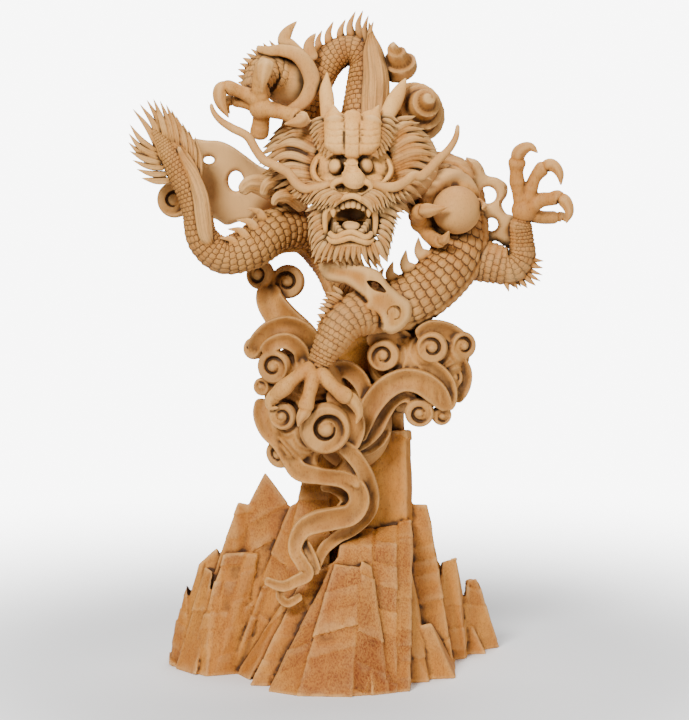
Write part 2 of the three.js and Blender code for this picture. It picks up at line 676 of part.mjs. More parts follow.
// The post and the rocks are cut in flat splits that lean towards it.
const POST = [
  [[[290, -16], [404, -16], [290, 70], [410, 70]], [[318, 322, -10], [402, 318, -10]], 70],
  [
    [[287, -26], [408, -22], [414, -6], [287, 66], [414, 66]],
    [[304, 440, -20], [406, 430, -22], [411, 430, -6]],
    80,
  ],
];
const ROCKS = [
  [
    [[226, -18], [262, -36], [300, -36], [300, 60], [226, 60]],
    [[265, 472, 6], [248, 506, 0], [291, 508, -4]],
    14,
  ],
  [[[262, -30], [300, -44], [330, -44], [330, 40], [262, 40]], [[302, 480, -20], [330, 480, -20]], 30],
  [[[226, -18], [262, -38], [300, -44], [300, 50], [226, 50]], [[290, 506, -16], [300, 500, -18]], 20],
  [[[184, -8], [226, -18], [300, 0], [190, 70], [300, 70]], [[238, 502, -4], [262, 508, 0]], 30],
  [[[171, 12], [206, -34], [250, -20], [176, 80], [250, 80]], [[199, 564, 8], [217, 548, 6]], 30],
  [[[170.5, 10], [188, -14], [171, 60], [210, 60]], [[176, 622, 14], [187, 584, 14]], 30],
  [[[187, -15], [207, -37], [248, -19], [262, 30]], [[210, 598, -22], [224, 554, -14], [258, 552, -12]], 30],
  [[[207, -36], [224, -19], [206, 20]], [[213, 598, -24]], 20],
  [[[222, -19], [249, -20], [262, 10]], [[246, 606, -22], [262, 592, -20]], 20],
  [[[236, -24], [250, -52], [262, 10]], [[280, 606, -50], [302, 590, -56]], 20],
  [[[250, -74], [268, -76], [300, -40], [262, 0]], [[303, 576, -60], [333, 563, -60]], 30],
  [[[268, -97], [296, -114], [330, -30], [280, 0]], [[331, 566, -63], [343, 552, -56]], 30],
  [[[296, -116], [353, BLOCK_FRONT], [353, -20], [310, -20]], [[334, 563, -70], [361, 567, -70]], 30],
  [[[322, -118], [372, -112], [372, -10], [322, -10]], [[339, 545, -54], [372, 545, -54], [352, 530, -28]], 40],
  [[[353, -117], [390, -106], [390, -20], [353, -20]], [[361, 560, -68], [372, 566, -68]], 30],
  [[[371, -114], [397, -102], [397, -10], [371, -10]], [[372, 545, -52], [397, 543, -50], [384, 527, -26]], 40],
  [[[397, -101], [410, -97], [412, 0], [397, 0]], [[398, 541, -46], [413, 537, -40], [403, 520, -24]], 40],
  [[[404, -64], [429, -60], [429, 40], [404, 40]], [[403, 628, -66], [412, 570, -40]], 30],
  [[[424, -50], [455.5, -44], [455, 30], [424, 30]], [[419, 626, -54], [431, 623, -50]], 40],
  [[[404, -20], [454, -6], [450, 84], [404, 84]], [[413, 504, -2], [427.5, 504, 0]], 30],
  [[[430, 20], [466, 40], [470, 96], [430, 96]], [[442, 561, 22], [457, 557, 24]], 30],
  [[[458, 60], [499, 90], [496, 106], [458, 106]], [[467, 580, 52], [477, 578, 54]], 20],
  [[[240, 30], [330, 30], [250, 112], [330, 116]], [[268, 540, 62], [310, 520, 66]], 16],
  [[[300, 40], [430, 40], [306, BLOCK_BACK], [426, BLOCK_BACK]], [[318, 504, 72], [398, 508, 72]], 18],
  [[[186, 40], [290, 40], [198, 98], [290, 112]], [[222, 578, 60], [256, 566, 64]], 16],
  [[[400, 50], [486, 60], [404, 114], [480, 110]], [[410, 538, 66], [432, 548, 66]], 18],
];

function standing() {
  return [...POST, ...ROCKS].map((facts) => split(...facts));
}

const joined = union([
  ...standing(),
  ...clouds(),
  ...body(),
  ...tailFan(),
  ...TUFTS.map((route) => limb(route, SIDES.toe, STEP.leg)),
  ...legs(),
  ...pearl(),
  ...flames(),
  ...head(),
  ...hair(),
  ...[...HORNS, ...WHISKERS].map((route) => limb(route, SIDES.strand, STEP.leg)),
]);
// The carving is the one great piece: pinholes shut inside the joins are left out.
const [carved] = joined.decompose().map((lump) => lump.simplify(FINISH)).sort((a, b) => b.volume() - a.volume());

const { numProp, numVert, vertProperties, triVerts } = carved.getMesh();
const corners = new Float32Array(numVert * 3);
for (let i = 0; i < numVert; i += 1) corners.set(vertProperties.subarray(i * numProp, i * numProp + 3), i * 3);
const surface = new THREE.BufferGeometry();
surface.setAttribute('position', new THREE.BufferAttribute(corners, 3));
surface.setIndex(new THREE.BufferAttribute(triVerts, 1));

const carving = new THREE.Mesh(surface, new THREE.MeshStandardMaterial(WOOD));
carving.name = 'dragon_carving';

const dragon = new THREE.Group();
dragon.add(carving);

export default dragon;
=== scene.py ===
"""A carved wooden dragon: it coils above a post that rises from split rocks, with clouds curling
under it, a pearl in one claw and a forked fan for a tail. All of it is cut from one kind of wood."""

import math

import bpy
import numpy as np
from mathutils import Matrix, Vector
from mathutils.bvhtree import BVHTree
from mathutils.geometry import delaunay_2d_cdt


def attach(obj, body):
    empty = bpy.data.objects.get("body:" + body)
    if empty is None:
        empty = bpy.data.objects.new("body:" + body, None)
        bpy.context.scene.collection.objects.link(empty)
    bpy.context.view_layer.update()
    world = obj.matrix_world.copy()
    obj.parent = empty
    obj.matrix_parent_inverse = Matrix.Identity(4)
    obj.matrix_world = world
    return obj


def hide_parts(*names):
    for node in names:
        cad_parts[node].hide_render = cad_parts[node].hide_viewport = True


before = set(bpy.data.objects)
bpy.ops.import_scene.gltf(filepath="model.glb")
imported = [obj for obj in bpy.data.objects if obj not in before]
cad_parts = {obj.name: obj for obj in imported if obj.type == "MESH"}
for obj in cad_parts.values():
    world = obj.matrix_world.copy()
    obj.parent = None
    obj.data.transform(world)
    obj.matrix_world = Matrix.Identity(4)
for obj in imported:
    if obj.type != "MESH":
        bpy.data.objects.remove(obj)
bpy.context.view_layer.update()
bpy.ops.object.select_all(action="DESELECT")

# The front drawing is full size and seen from a standing eye. A place on it is [across, down, depth] in
# millimetres from its top left corner, with the depth behind the middle of the block.
MM = 0.001
DRAWING_WIDTH = 689
DRAWING_HEIGHT = 720
EYE_DISTANCE = 2600
EYE_TILT = math.radians(7)
AIM_ACROSS = -5.6
AIM_UP = 315
VIEWER = np.array([0.0, -1.0, 0.0])
TIP = 0.6

EYE_BACK = -EYE_DISTANCE * math.cos(EYE_TILT)
EYE_UP = AIM_UP + EYE_DISTANCE * math.sin(EYE_TILT)


def drawn(places):
    """The points in the block of places on the front drawing, in metres."""
    across, down, depth = np.moveaxis(np.asarray(places, float), -1, 0)
    right = (across - DRAWING_WIDTH / 2) / EYE_DISTANCE
    up = (DRAWING_HEIGHT / 2 - down) / EYE_DISTANCE
    reach = (depth - EYE_BACK) / (math.cos(EYE_TILT) + up * math.sin(EYE_TILT))
    rise = up * math.cos(EYE_TILT) - math.sin(EYE_TILT)
    return np.stack([AIM_ACROSS + reach * right, depth, EYE_UP + reach * rise], -1) * MM


def seen(points):
    """Where points in the block are on the front drawing: across and down."""
    away = np.asarray(points) / MM - [AIM_ACROSS, EYE_BACK, EYE_UP]
    reach = away[:, 1] * math.cos(EYE_TILT) - away[:, 2] * math.sin(EYE_TILT)
    up = away[:, 1] * math.sin(EYE_TILT) + away[:, 2] * math.cos(EYE_TILT)
    across = DRAWING_WIDTH / 2 + EYE_DISTANCE * away[:, 0] / reach
    return across, DRAWING_HEIGHT / 2 - EYE_DISTANCE * up / reach


def unit(vectors):
    return vectors / np.maximum(np.linalg.norm(vectors, axis=-1, keepdims=True), 1e-12)


def smooth(stations, where):
    """The smooth line through the stations, at places counted in stations from 0."""
    stations = np.asarray(stations, float)
    before = 2 * stations[0] - stations[1]
    after = 2 * stations[-1] - stations[-2]
    padded = np.vstack([before, stations, after])
    where = np.asarray(where, float)
    span = np.clip(np.floor(where).astype(int), 0, len(stations) - 2)
    t = (where - span)[:, None]
    a, b, c, d = (padded[span + i] for i in range(4))
    bend = 2 * a - 5 * b + 4 * c - d
    twist = 3 * b - a - 3 * c + d
    return 0.5 * (2 * b + (c - a) * t + bend * t**2 + twist * t**3)


class Route:
    """A smooth line through points in the block, with a radius and a turn at each. The turn brings the
    ridge of the back from the right-hand side of travel towards the viewer, in degrees."""

    def __init__(self, line, facts):
        self.line = np.asarray(line, float)
        self.facts = np.asarray(facts, float)
        self.last = len(self.line) - 1
        self.fine = np.linspace(0, self.last, 40 * self.last + 1)
        steps = np.linalg.norm(np.diff(smooth(self.line, self.fine), axis=0), axis=1)
        self.lengths = np.concatenate([[0], np.cumsum(steps)]) / MM

    def at(self, where):
        """Point, direction, back, side and radius in millimetres at places counted in stations."""
        where = np.atleast_1d(np.asarray(where, float))
        ahead = smooth(self.line, np.minimum(where + 0.02, self.last))
        behind = smooth(self.line, np.maximum(where - 0.02, 0))
        along = unit(ahead - behind)
        facts = smooth(self.facts, where)
        turn = np.radians(facts[:, 1:2])
        right = unit(np.cross(along, VIEWER))
        front = np.cross(right, along)
        back = right * np.cos(turn) + front * np.sin(turn)
        side = np.cross(along, back)
        return smooth(self.line, where), along, back, side, np.maximum(facts[:, 0], TIP)

    def station(self, length):
        return np.interp(length, self.lengths, self.fine)


def route_of(stations):
    """The route of stations [across, down, depth, radius, turn], where the turn may be left out."""
    rows = np.array([list(s) + [0] * (5 - len(s)) for s in stations], float)
    return Route(drawn(rows[:, :3]), rows[:, 3:])


# Forms. Most start as a round primitive whose points are then laid along a line or round a centre.


def facing(form):
    """The way that each point of a form faces."""
    flat = np.empty(3 * len(form.data.vertices), np.float32)
    form.data.vertices.foreach_get("normal", flat)
    return flat.reshape(-1, 3).astype(float)


def coordinates(form):
    flat = np.empty(3 * len(form.data.vertices), np.float32)
    form.data.vertices.foreach_get("co", flat)
    return flat.reshape(-1, 3).astype(float)


def lay(form, points):
    form.data.vertices.foreach_set("co", np.asarray(points, np.float32).ravel())
    form.data.update()


primitives = {}


def round_form(ring, rows, wood):
    """A new round form: its shares from pole to pole, its angles round the pole, and its unit points."""
    if (ring, rows) not in primitives:
        bpy.ops.mesh.primitive_uv_sphere_add(segments=ring, ring_count=rows, radius=1)
        first = bpy.context.object
        primitives[ring, rows] = first.data
        bpy.data.objects.remove(first)
    form = bpy.data.objects.new("form", primitives[ring, rows].copy())
    bpy.context.scene.collection.objects.link(form)
    form.data.materials.append(wood)
    points = coordinates(form)
    share = np.arccos(np.clip(-points[:, 2], -1, 1)) / math.pi
    around = np.arctan2(points[:, 1], points[:, 0])
    return form, share, around, points


def count_cells(form, heights, cells_round, pitch):
    """The form's map counts the cells of its pattern: round it, and along it every pitch."""
    layer = form.data.uv_layers[0]
    flat = np.empty(2 * len(form.data.loops), np.float32)
    layer.data.foreach_get("uv", flat)
    places = flat.reshape(-1, 2)
    corners = np.empty(len(form.data.loops), np.int32)
    form.data.loops.foreach_get("vertex_index", corners)
    places[:, 0] *= cells_round
    places[:, 1] = heights[corners] / pitch
    layer.data.foreach_set("uv", places.ravel())


def limb(route, wood, flat=1, ring=20, step=2.2, relief=None, cells=(1, 10), blunt=0.8, section=None,
         even=0):
    """A closed round limb along a route. flat narrows it across the ridge of its back, relief gives the
    height of its carving from the length along, the angle from the back and the radius, and section
    gives another shape than a round for its cut across. even is the radius at which its pattern is full
    size, and the pattern shrinks with the limb."""
    route = route if isinstance(route, Route) else route_of(route)
    length = route.lengths[-1]
    rows = int(max(8, round(length / step)))
    form, share, around, _ = round_form(ring, rows, wood)
    run = share * length
    point, _, back, side, radius = route.at(route.station(run))
    pace = run
    if even:
        thin = even / np.maximum(smooth(route.facts, route.fine)[:, 0], even / 3)
        paces = np.concatenate([[0], np.cumsum(np.diff(route.lengths) * thin[1:])])
        pace = np.interp(run, route.lengths, paces)
    height = relief(pace, around, radius) if relief else 0
    grown = radius + height
    first = run / (blunt * radius[np.argmin(share)])
    last = (length - run) / (blunt * radius[np.argmax(share)])
    for gap in (first, last):
        grown = grown * np.sqrt(1 - np.clip(1 - gap, 0, 1) ** 2)
    grown = (grown * MM)[:, None]
    across, out = section(around) if section else (np.cos(around), np.sin(around))
    points = point + side * grown * out[:, None] * flat + back * grown * across[:, None]
    lay(form, points)
    count_cells(form, pace, *cells)
    return form


def ball(centre, radii, wood, ring=32, relief=None):
    wide, tall, deep = radii
    form, share, around, points = round_form(ring, ring // 2, wood)
    height = relief(points, share, around) if relief else np.zeros(len(points))
    size = np.array([wide, deep, tall]) * MM
    lay(form, points * size + points * (height * MM)[:, None] + drawn(centre))
    count_cells(form, share * math.pi * tall, 1, 10)
    return form


def ribbon_cut(edge=0.55, valley=0.12, under=0.85, bevel=0.1):
    """The cut across a ribbon of cloud: a hollow between two crisp edges in front, and a round back."""
    def section(around):
        across = np.cos(around)
        inner = np.clip(np.abs(across) / (1 - bevel), 0, 1)
        front = valley + (edge - valley) * inner**1.8
        front = front * np.sqrt(np.clip((1 - np.abs(across)) / bevel, 0, 1))
        behind = under * np.sqrt(np.clip(1 - across**2, 0, 1))
        return across, np.where(np.sin(around) < 0, -front, behind)
    return section


def leaf_route(points, width, leaf=0.55):
    """A route from root to tip that widens a little and then narrows to a point, as a leaf does."""
    shares = np.array([0, 0.18, 0.36, 0.54, 0.7, 0.86, 1])
    line = smooth(points, shares * (len(points) - 1))
    swell = 0.75 + 0.25 * np.sin(math.pi * np.clip(shares / (2 * leaf), 0, 0.5))
    taper = 1 - np.clip((shares - 0.3) / 0.7, 0, 1) ** 1.8
    radii = np.maximum(width / 2 * swell * taper, 0.35)
    return Route(line, np.stack([radii, np.zeros(7)], -1))


def lock(points, width, wood, thick=0.5, ring=12, step=3.0, veins=2.5):
    """A leaf of hair, frill or flame through points in the block, with a keel down its front."""
    def keel(run, around, radius):
        return -0.22 * radius * np.cos(veins * (around + math.pi / 2)) ** 2
    return limb(leaf_route(points, width), wood, thick, ring, step, keel, (ring / 2, 10), blunt=0.5)


def locks(roots, tips, count, width, wood, bow=0.12, ripple=2.0, seed=1, **finish):
    """A row of leaves from a line of roots to a line of tips, each bowed and set a little apart."""
    random = np.random.default_rng(seed)
    made = []
    for i in range(count):
        share = i / max(count - 1, 1)
        root = smooth(drawn(roots), [share * (len(roots) - 1)])[0]
        tip = smooth(drawn(tips), [share * (len(tips) - 1)])[0]
        sweep = np.cross(tip - root, VIEWER) * bow * random.uniform(0.6, 1.4)
        lift = VIEWER * MM * ripple * (random.uniform(-1, 1) + (i % 2))
        middle = (root + tip) / 2 + sweep + lift
        made.append(lock([root, middle, tip], width * random.uniform(0.85, 1.15), wood, **finish))
    return made


def thorn(base, tip, width, wood, bow=0.15, flat=0.5, ring=12):
    """A curved thorn from its base, sunk a little, to its tip."""
    along = tip - base
    middle = base + along * 0.45 + np.cross(along, VIEWER) * bow
    line = [base - along * 0.2, base, middle, tip]
    radii = [[width * 0.56, 0], [width * 0.5, 0], [width * 0.3, 0], [0.4, 0]]
    return limb(Route(line, radii), wood, flat, ring, 2.0, blunt=0.3)


def ridge(stations, wood, start, end, count, length, lean=0.5, girth=0.34, bow=0.15):
    """Thorns along the ridge of a back, from one station to another, leaning towards its end."""
    route = route_of(stations)
    made = []
    for i in range(count):
        share = i / (count - 1) if count > 1 else 0.5
        point, along, back, _, radius = (x[0] for x in route.at(start + (end - start) * share))
        tall = length * (0.7 + 0.3 * math.sin(math.pi * share)) * MM
        base = point + back * radius * 0.84 * MM
        tip = base + back * tall + along * lean * tall
        made.append(thorn(base, tip, girth * tall / MM * 1.5, wood, bow))
    return made


def volute(centre, radius, yaw, pitch, thick, wood, hand=1, start=0.0, ring=96, rows=110):
    """A curl of cloud: a scoop starts from nothing inside the rim and winds in to a bead, under a crisp
    edge."""
    form, share, _, points = round_form(ring, rows, wood)
    front = share > 0.5
    out = np.where(front, 2 * (1 - share), np.clip(2 * share / 0.7, 0, 1))
    angle = np.arctan2(points[:, 1], points[:, 0])
    turn = np.mod(hand * angle / (2 * math.pi) + start, 1)
    whorl = np.interp(out, [0, 0.28, 0.46, 0.94, 1], [2.8, 2, 1, 0, -0.3]) - turn
    number = np.floor(whorl)
    within_whorl = whorl - number
    deep = np.where(number < 0, 0, step_up(turn + number, 0.0, 0.6))
    wall = step_up(within_whorl, 0.0, 0.3)
    fades = (1 - 0.75 * within_whorl**1.5) * (1 - 0.6 * step_up(within_whorl, 0.93, 1))
    scoop = -0.36 * deep * wall * fades
    bead = 0.52 * np.sqrt(np.clip(1 - (out / 0.36) ** 2, 0, 1)) - 0.38
    top = np.where(out < 0.36, np.maximum(bead, scoop), scoop)
    top = top + 0.06 - 0.24 * step_up(out, 0.84, 1.0) ** 2
    side = np.clip((2 * share - 0.7) / 0.3, 0, 1)
    under = -thick + (thick - 0.42) * out**2.4 + 0.24 * side
    tall = np.where(front, top, under)
    flat = np.stack([out * np.cos(angle), -tall, out * np.sin(angle)], -1) * radius * MM
    faced = Matrix.Rotation(math.radians(yaw), 3, "Z") @ Matrix.Rotation(math.radians(-pitch), 3, "X")
    lay(form, flat @ np.array(faced).T + drawn(centre))
    count_cells(form, out * radius, 1, 10)
    return form


def step_up(value, low, high):
    """0 below low, 1 above high, and smooth between."""
    t = np.clip((value - low) / (high - low), 0, 1)
    return t * t * (3 - 2 * t)


def shell(mouth, tip, radius, turns, wood, depth=0.3):
    """A cone of cloud wound like a shell: each turn's lip hangs over the next, out to the tip."""
    start, end = drawn([mouth, tip])
    length = np.linalg.norm(end - start) / MM
    shares = np.array([0, 0.12, 0.35, 0.6, 0.82, 1.0])
    swell = np.array([0.85, 0.9, 0.74, 0.52, 0.3, 0.1]) * radius
    line = start + (end - start) * shares[:, None]

    def lips(run, around, size):
        wind = np.mod(turns * (run / length) + around / (2 * math.pi), 1)
        lip = wind**2.2 - step_up(wind, 0.9, 1)
        return depth * radius * lip * (1 - 0.6 * run / length) * step_up(run / length, 0.02, 0.2)
    return limb(Route(line, np.stack([swell, np.zeros(6)], -1)), wood, 1, 72, 0.8, lips, (1, 10), blunt=0.5)


def scale_rows(rows, cells):
    """The share of the way along the scale that shows at a place counted in rows and cells, and how
    far the place is from the scale's middle line."""
    def aside(row):
        return np.abs(2 * np.mod(cells + 0.5 * np.mod(row, 2), 1) - 1)

    def lip(row):
        return SCALE_LIP * np.sqrt(np.clip(1 - aside(row) ** 4, 0, 1))
    low = np.floor(rows)
    row = low + (rows > low + lip(low))
    start = row - 1 + lip(row - 1)
    return (rows - start) / (row + lip(row) - start), aside(row)


SCALES_ROUND = 18
SCALE_PITCH = 8.0
SCALE_LIP = 0.3
PLATE_PITCH = 6.5
BELLY_FROM = math.radians(126)


def scales(depth=1.7, belly=True, pitch=SCALE_PITCH):
    """Overlapping scales over the back and sides, and broad plates across the belly."""
    def relief(run, around, radius):
        cells = (around / (2 * math.pi) + 0.5) * SCALES_ROUND
        share, aside = scale_rows(run / pitch, cells)
        back = depth * (share - step_up(share, 0.86, 1.0)) * (1 - 0.7 * step_up(aside, 0.8, 1.0))
        if not belly:
            return back - depth / 2
        plate = np.mod(run / PLATE_PITCH, 1)
        under = depth * (0.8 * plate - step_up(plate, 0.8, 1.0)) + 0.6
        mix = step_up(np.abs(around), BELLY_FROM - 0.06, BELLY_FROM + 0.06)
        border = np.exp(-(((np.abs(around) - BELLY_FROM) / 0.07) ** 2))
        return (back * (1 - mix) + under * mix - depth * border - depth / 2) * np.minimum(radius / 22, 1)
    return relief


def flutes(count, depth, start=-math.pi / 2, spread=1.1):
    """Long hollows side by side down the face of a limb, centred on an angle from its back."""
    def relief(run, around, radius):
        off = np.mod(around - start + math.pi, 2 * math.pi) - math.pi
        inside = step_up(spread - np.abs(off), 0, 0.25)
        wave = 0.5 - 0.5 * np.cos((off / spread + 1) * math.pi * count)
        return -depth * radius * inside * wave
    return relief


def slab(outline, holes, depth, thick, wood, grain=2.6, edge=5.0):
    """A flat piece with round edges: its outline and round holes lie on the drawing, at one depth or at
    a depth that changes across it."""
    line = np.array([[x, y, 0] for x, y in outline + outline[:1]], float)
    loops = [smooth(line, np.linspace(0, len(outline), 14 * len(outline), endpoint=False))[:, :2]]
    for across, down, wide, tall in holes:
        angle = np.linspace(0, 2 * math.pi, 28, endpoint=False)
        loops.append(np.stack([across + wide * np.cos(angle), down + tall * np.sin(angle)], -1))
    border = np.vstack(loops)
    edges = []
    first = 0
    for loop in loops:
        edges += [(first + i, first + (i + 1) % len(loop)) for i in range(len(loop))]
        first += len(loop)
    low, high = border.min(0), border.max(0)
    mesh = np.stack(np.meshgrid(np.arange(low[0], high[0], grain), np.arange(low[1], high[1], grain)), -1)
    inside = mesh.reshape(-1, 2)
    inside = inside[within(inside, loops) & (reach_to(inside, border, edges) > grain * 0.6)]
    places = np.vstack([border, inside])
    found = delaunay_2d_cdt([Vector(p) for p in places], edges, [], 0, 1e-5)
    places = np.array(found[0])
    faces = np.array([f for f in found[2] if len(f) == 3])
    faces = faces[within(places[faces].mean(1), loops)]
    away = reach_to(places, border, edges)
    half = thick / 2 * np.sqrt(1 - (1 - np.clip(away / edge, 0, 1)) ** 2)
    level = depth(places[:, 0]) if callable(depth) else depth
    return pillow(places, faces, half, away < 1e-3, level, wood)


def pillow(places, faces, half, rim, depth, wood):
    """A closed form from flat triangles: a front and a back that meet along their rim."""
    count = len(places)
    front = drawn(np.column_stack([places, depth - half]))
    back = drawn(np.column_stack([places, depth + half]))
    order = np.where(rim, np.arange(count), np.arange(count) + count)
    behind = order[faces][:, ::-1]
    form = bpy.data.objects.new("form", bpy.data.meshes.new("form"))
    bpy.context.scene.collection.objects.link(form)
    form.data.from_pydata(np.vstack([front, back]).tolist(), [], np.vstack([faces, behind]).tolist())
    form.data.materials.append(wood)
    form.data.uv_layers.new(name="UVMap")
    tidy_mesh(form)
    return form


def tidy_mesh(form):
    """Loose points are taken away and the faces are turned outwards."""
    pick(form)
    bpy.ops.object.mode_set(mode="EDIT")
    bpy.ops.mesh.select_all(action="SELECT")
    bpy.ops.mesh.delete_loose()
    bpy.ops.mesh.select_all(action="SELECT")
    bpy.ops.mesh.normals_make_consistent(inside=False)
    bpy.ops.object.mode_set(mode="OBJECT")


def within(places, loops):
    """Which places lie inside the first loop and outside the others."""
    odd = np.zeros(len(places), bool)
    for loop in loops:
        for (x0, y0), (x1, y1) in zip(loop, np.roll(loop, -1, 0)):
            crosses = (y0 > places[:, 1]) != (y1 > places[:, 1])
            if y0 == y1:
                continue
            at = x0 + (places[:, 1] - y0) * (x1 - x0) / (y1 - y0)
            odd ^= crosses & (places[:, 0] < at)
    return odd


def reach_to(places, border, edges):
    """The distance of each place from the nearest edge of the border."""
    nearest = np.full(len(places), np.inf)
    for a, b in edges:
        span = border[b] - border[a]
        share = np.clip(((places - border[a]) @ span) / max(span @ span, 1e-9), 0, 1)
        nearest = np.minimum(nearest, np.linalg.norm(places - border[a] - share[:, None] * span, axis=1))
    return nearest


# Joining


def pick(form):
    bpy.ops.object.select_all(action="DESELECT")
    form.select_set(True)
    bpy.context.view_layer.objects.active = form


def apply(form, kind, **settings):
    """A modifier of that kind is added and applied at once."""
    pick(form)
    modifier = form.modifiers.new("step", kind)
    for name, value in settings.items():
        setattr(modifier, name, value)
    bpy.ops.object.modifier_apply(modifier=modifier.name)


def union(forms):
    """One closed form from forms that cross."""
    first, rest = forms[0], forms[1:]
    return combine(first, rest, "UNION")


def cut(form, tools):
    return combine(form, tools, "DIFFERENCE")


def combine(form, others, operation):
    bench = bpy.data.collections.new("bench")
    for other in others:
        bench.objects.link(other)
    apply(form, "BOOLEAN", operation=operation, operand_type="COLLECTION", collection=bench,
          solver="MANIFOLD", material_mode="TRANSFER")
    for other in others:
        bpy.data.objects.remove(other)
    bpy.data.collections.remove(bench)
    return form


def fused(forms, grain, passes, wood):
    """Forms that flow into one another, as carved from one lump."""
    form = union(forms)
    apply(form, "REMESH", mode="VOXEL", voxel_size=grain * MM)
    apply(form, "SMOOTH", factor=0.5, iterations=passes)
    form.data.materials.clear()
    form.data.materials.append(wood)
    return form


# Wood. One kind of wood, paler where it is cut across the grain and sanded, browner on the rocks.


class Value:
    """A node's output, with arithmetic: 1 - a * b adds the Math nodes for it."""

    def __init__(self, nodes, socket):
        self.nodes = nodes
        self.socket = socket

    def math(self, operation, *others):
        return self.nodes.add("ShaderNodeMath", {"operation": operation}, [self, *others])

    def __add__(self, other):
        return self.math("ADD", other)

    def __sub__(self, other):
        return self.math("SUBTRACT", other)

    def __mul__(self, other):
        return self.math("MULTIPLY", other)

    def __truediv__(self, other):
        return self.math("DIVIDE", other)

    def __pow__(self, other):
        return self.math("POWER", other)

    def __gt__(self, other):
        return self.math("GREATER_THAN", other)

    def __rsub__(self, other):
        return self.nodes.add("ShaderNodeMath", {"operation": "SUBTRACT"}, [other, self])

    __radd__ = __add__
    __rmul__ = __mul__

    def step_up(self, low, high):
        """0 below low, 1 above high, and smooth between."""
        settings = {"interpolation_type": "SMOOTHSTEP"}
        values = {"Value": self, "From Min": low, "From Max": high}
        return self.nodes.add("ShaderNodeMapRange", settings, values)


class Nodes:
    """A new material's node tree."""

    def __init__(self, name):
        self.material = bpy.data.materials.new(name)
        self.material.use_nodes = True
        self.tree = self.material.node_tree
        self.shader = self.tree.nodes["Principled BSDF"]

    def add(self, kind, settings=None, values=(), output=0):
        """A node of that type: its settings first, then the values or links of its sockets."""
        node = self.tree.nodes.new(kind)
        for name, value in (settings or {}).items():
            setattr(node, name, value)
        pairs = values.items() if isinstance(values, dict) else enumerate(values)
        for key, value in pairs:
            if isinstance(value, Value):
                self.tree.links.new(value.socket, node.inputs[key])
            else:
                node.inputs[key].default_value = value
        return Value(self, node.outputs[output])

    def noise(self, where, scale, detail=3.0, roughness=0.55):
        values = {"Vector": where, "Scale": scale, "Detail": detail, "Roughness": roughness}
        return self.add("ShaderNodeTexNoise", None, values)

    def stretched(self, where, sizes):
        return self.add("ShaderNodeVectorMath", {"operation": "MULTIPLY"}, [where, sizes])

    def mix(self, share, first, second):
        values = {"Factor": share, 6: first, 7: second}
        return self.add("ShaderNodeMix", {"data_type": "RGBA"}, values, output=2)

    def finish(self, links, values):
        for name, value in links.items():
            self.tree.links.new(value.socket, self.shader.inputs[name])
        for name, value in values.items():
            self.shader.inputs[name].default_value = value
        return self.material


def srgb(red, green, blue):
    """A colour given as on a screen, as the linear one that a shader takes."""
    return tuple(((v / 255 + 0.055) / 1.055) ** 2.4 for v in (red, green, blue)) + (1.0,)


PALE = srgb(206, 148, 76)
# The colour of the painted highlights on edges.
HIGHLIGHT_COLOUR = srgb(224, 176, 112)
TAN = srgb(184, 120, 52)
DEEP = srgb(120, 68, 24)
# The colour of the painted shade in hollows and cuts.
PAINTED_SHADE = srgb(40, 20, 7)
GREY = srgb(156, 126, 88)


SHEEN = {"IOR": 1.45, "Specular IOR Level": 0.28}


def carved_wood(name, light, dark, grain_bump=0.35, pores=0.5, pattern=None, cut=PAINTED_SHADE):
    """Wood whose grain runs up the block, with painted shade in its hollows and painted highlights on its
    edges.
    """
    nodes = Nodes(name)
    where = nodes.add("ShaderNodeTexCoord", output=3)
    drift = nodes.noise(nodes.stretched(where, (9, 9, 3)), 1.0, 2.0)
    bands = nodes.noise(nodes.stretched(where, (60, 45, 7)), 1.0, 2.5, 0.6)
    fibres = nodes.noise(nodes.stretched(where, (900, 900, 60)), 1.0, 2.0, 0.6)
    speckle = nodes.noise(nodes.stretched(where, (520, 520, 260)), 1.0, 3.0, 0.7)
    # The hollow attribute holds painted shade, and the next one painted highlights on edges; age() works both
    # out.
    hollow = nodes.add("ShaderNodeAttribute", {"attribute_name": "hollow"}, output=2)
    painted_highlight = nodes.add("ShaderNodeAttribute", {"attribute_name": "painted_highlight"}, output=2)
    tone = (bands * 0.55 + drift * 0.45).step_up(0.36, 0.64)
    wood = nodes.mix(tone, dark, light)
    wood = nodes.mix(speckle.step_up(0.5, 0.72) * pores, wood, DEEP)
    wood = nodes.mix(fibres.step_up(0.5, 0.8) * (pores * 0.6), wood, DEEP)
    wood = nodes.mix(drift.step_up(0.58, 0.75) * 0.25, wood, GREY)
    height = fibres * 0.35 + speckle * 0.4
    if pattern:
        line, rise = pattern(nodes)
        # A pattern's lines take the cut colour: painted shade in the cuts of scales and strands, the spots
        # and block tones on the rocks.
        wood = nodes.mix(line * 0.8, wood, cut)
        height = height + rise
    # Painted highlights on the edges that stand out.
    wood = nodes.mix(painted_highlight * 0.7, wood, HIGHLIGHT_COLOUR)
    # Painted shade in the hollows and crevices, and where nearby carving closes a place off.
    wood = nodes.mix(hollow.step_up(0.08, 0.9) * 0.9, wood, PAINTED_SHADE)
    values = {"Strength": grain_bump, "Distance": 0.0006, "Height": height}
    bump = nodes.add("ShaderNodeBump", None, values)
    roughness = 0.56 + speckle * 0.2
    nodes.tree.links.new(wood.socket, nodes.shader.inputs["Base Color"])
    return nodes.finish({"Normal": bump, "Roughness": roughness}, SHEEN)


def mottle(nodes):
    """Rough sawn end grain: a close mottle over blocks that are each a little darker or paler, and the post
    and the right splits paler still as painted light.
    """
    where = nodes.add("ShaderNodeTexCoord", output=3)
    tone = nodes.add("ShaderNodeAttribute", {"attribute_name": "tone"}, output=2)
    spots = nodes.noise(nodes.stretched(where, (620, 620, 460)), 1.0, 2.5, 0.65)
    clouds = nodes.noise(nodes.stretched(where, (28, 28, 20)), 1.0, 2.0)
    dark = (1 - tone) * 0.34 + clouds.step_up(0.45, 0.7) * 0.25 * (1 - tone * 0.6)
    return spots.step_up(0.44, 0.66) * (0.5 - tone * 0.22) + dark, spots * 1.4


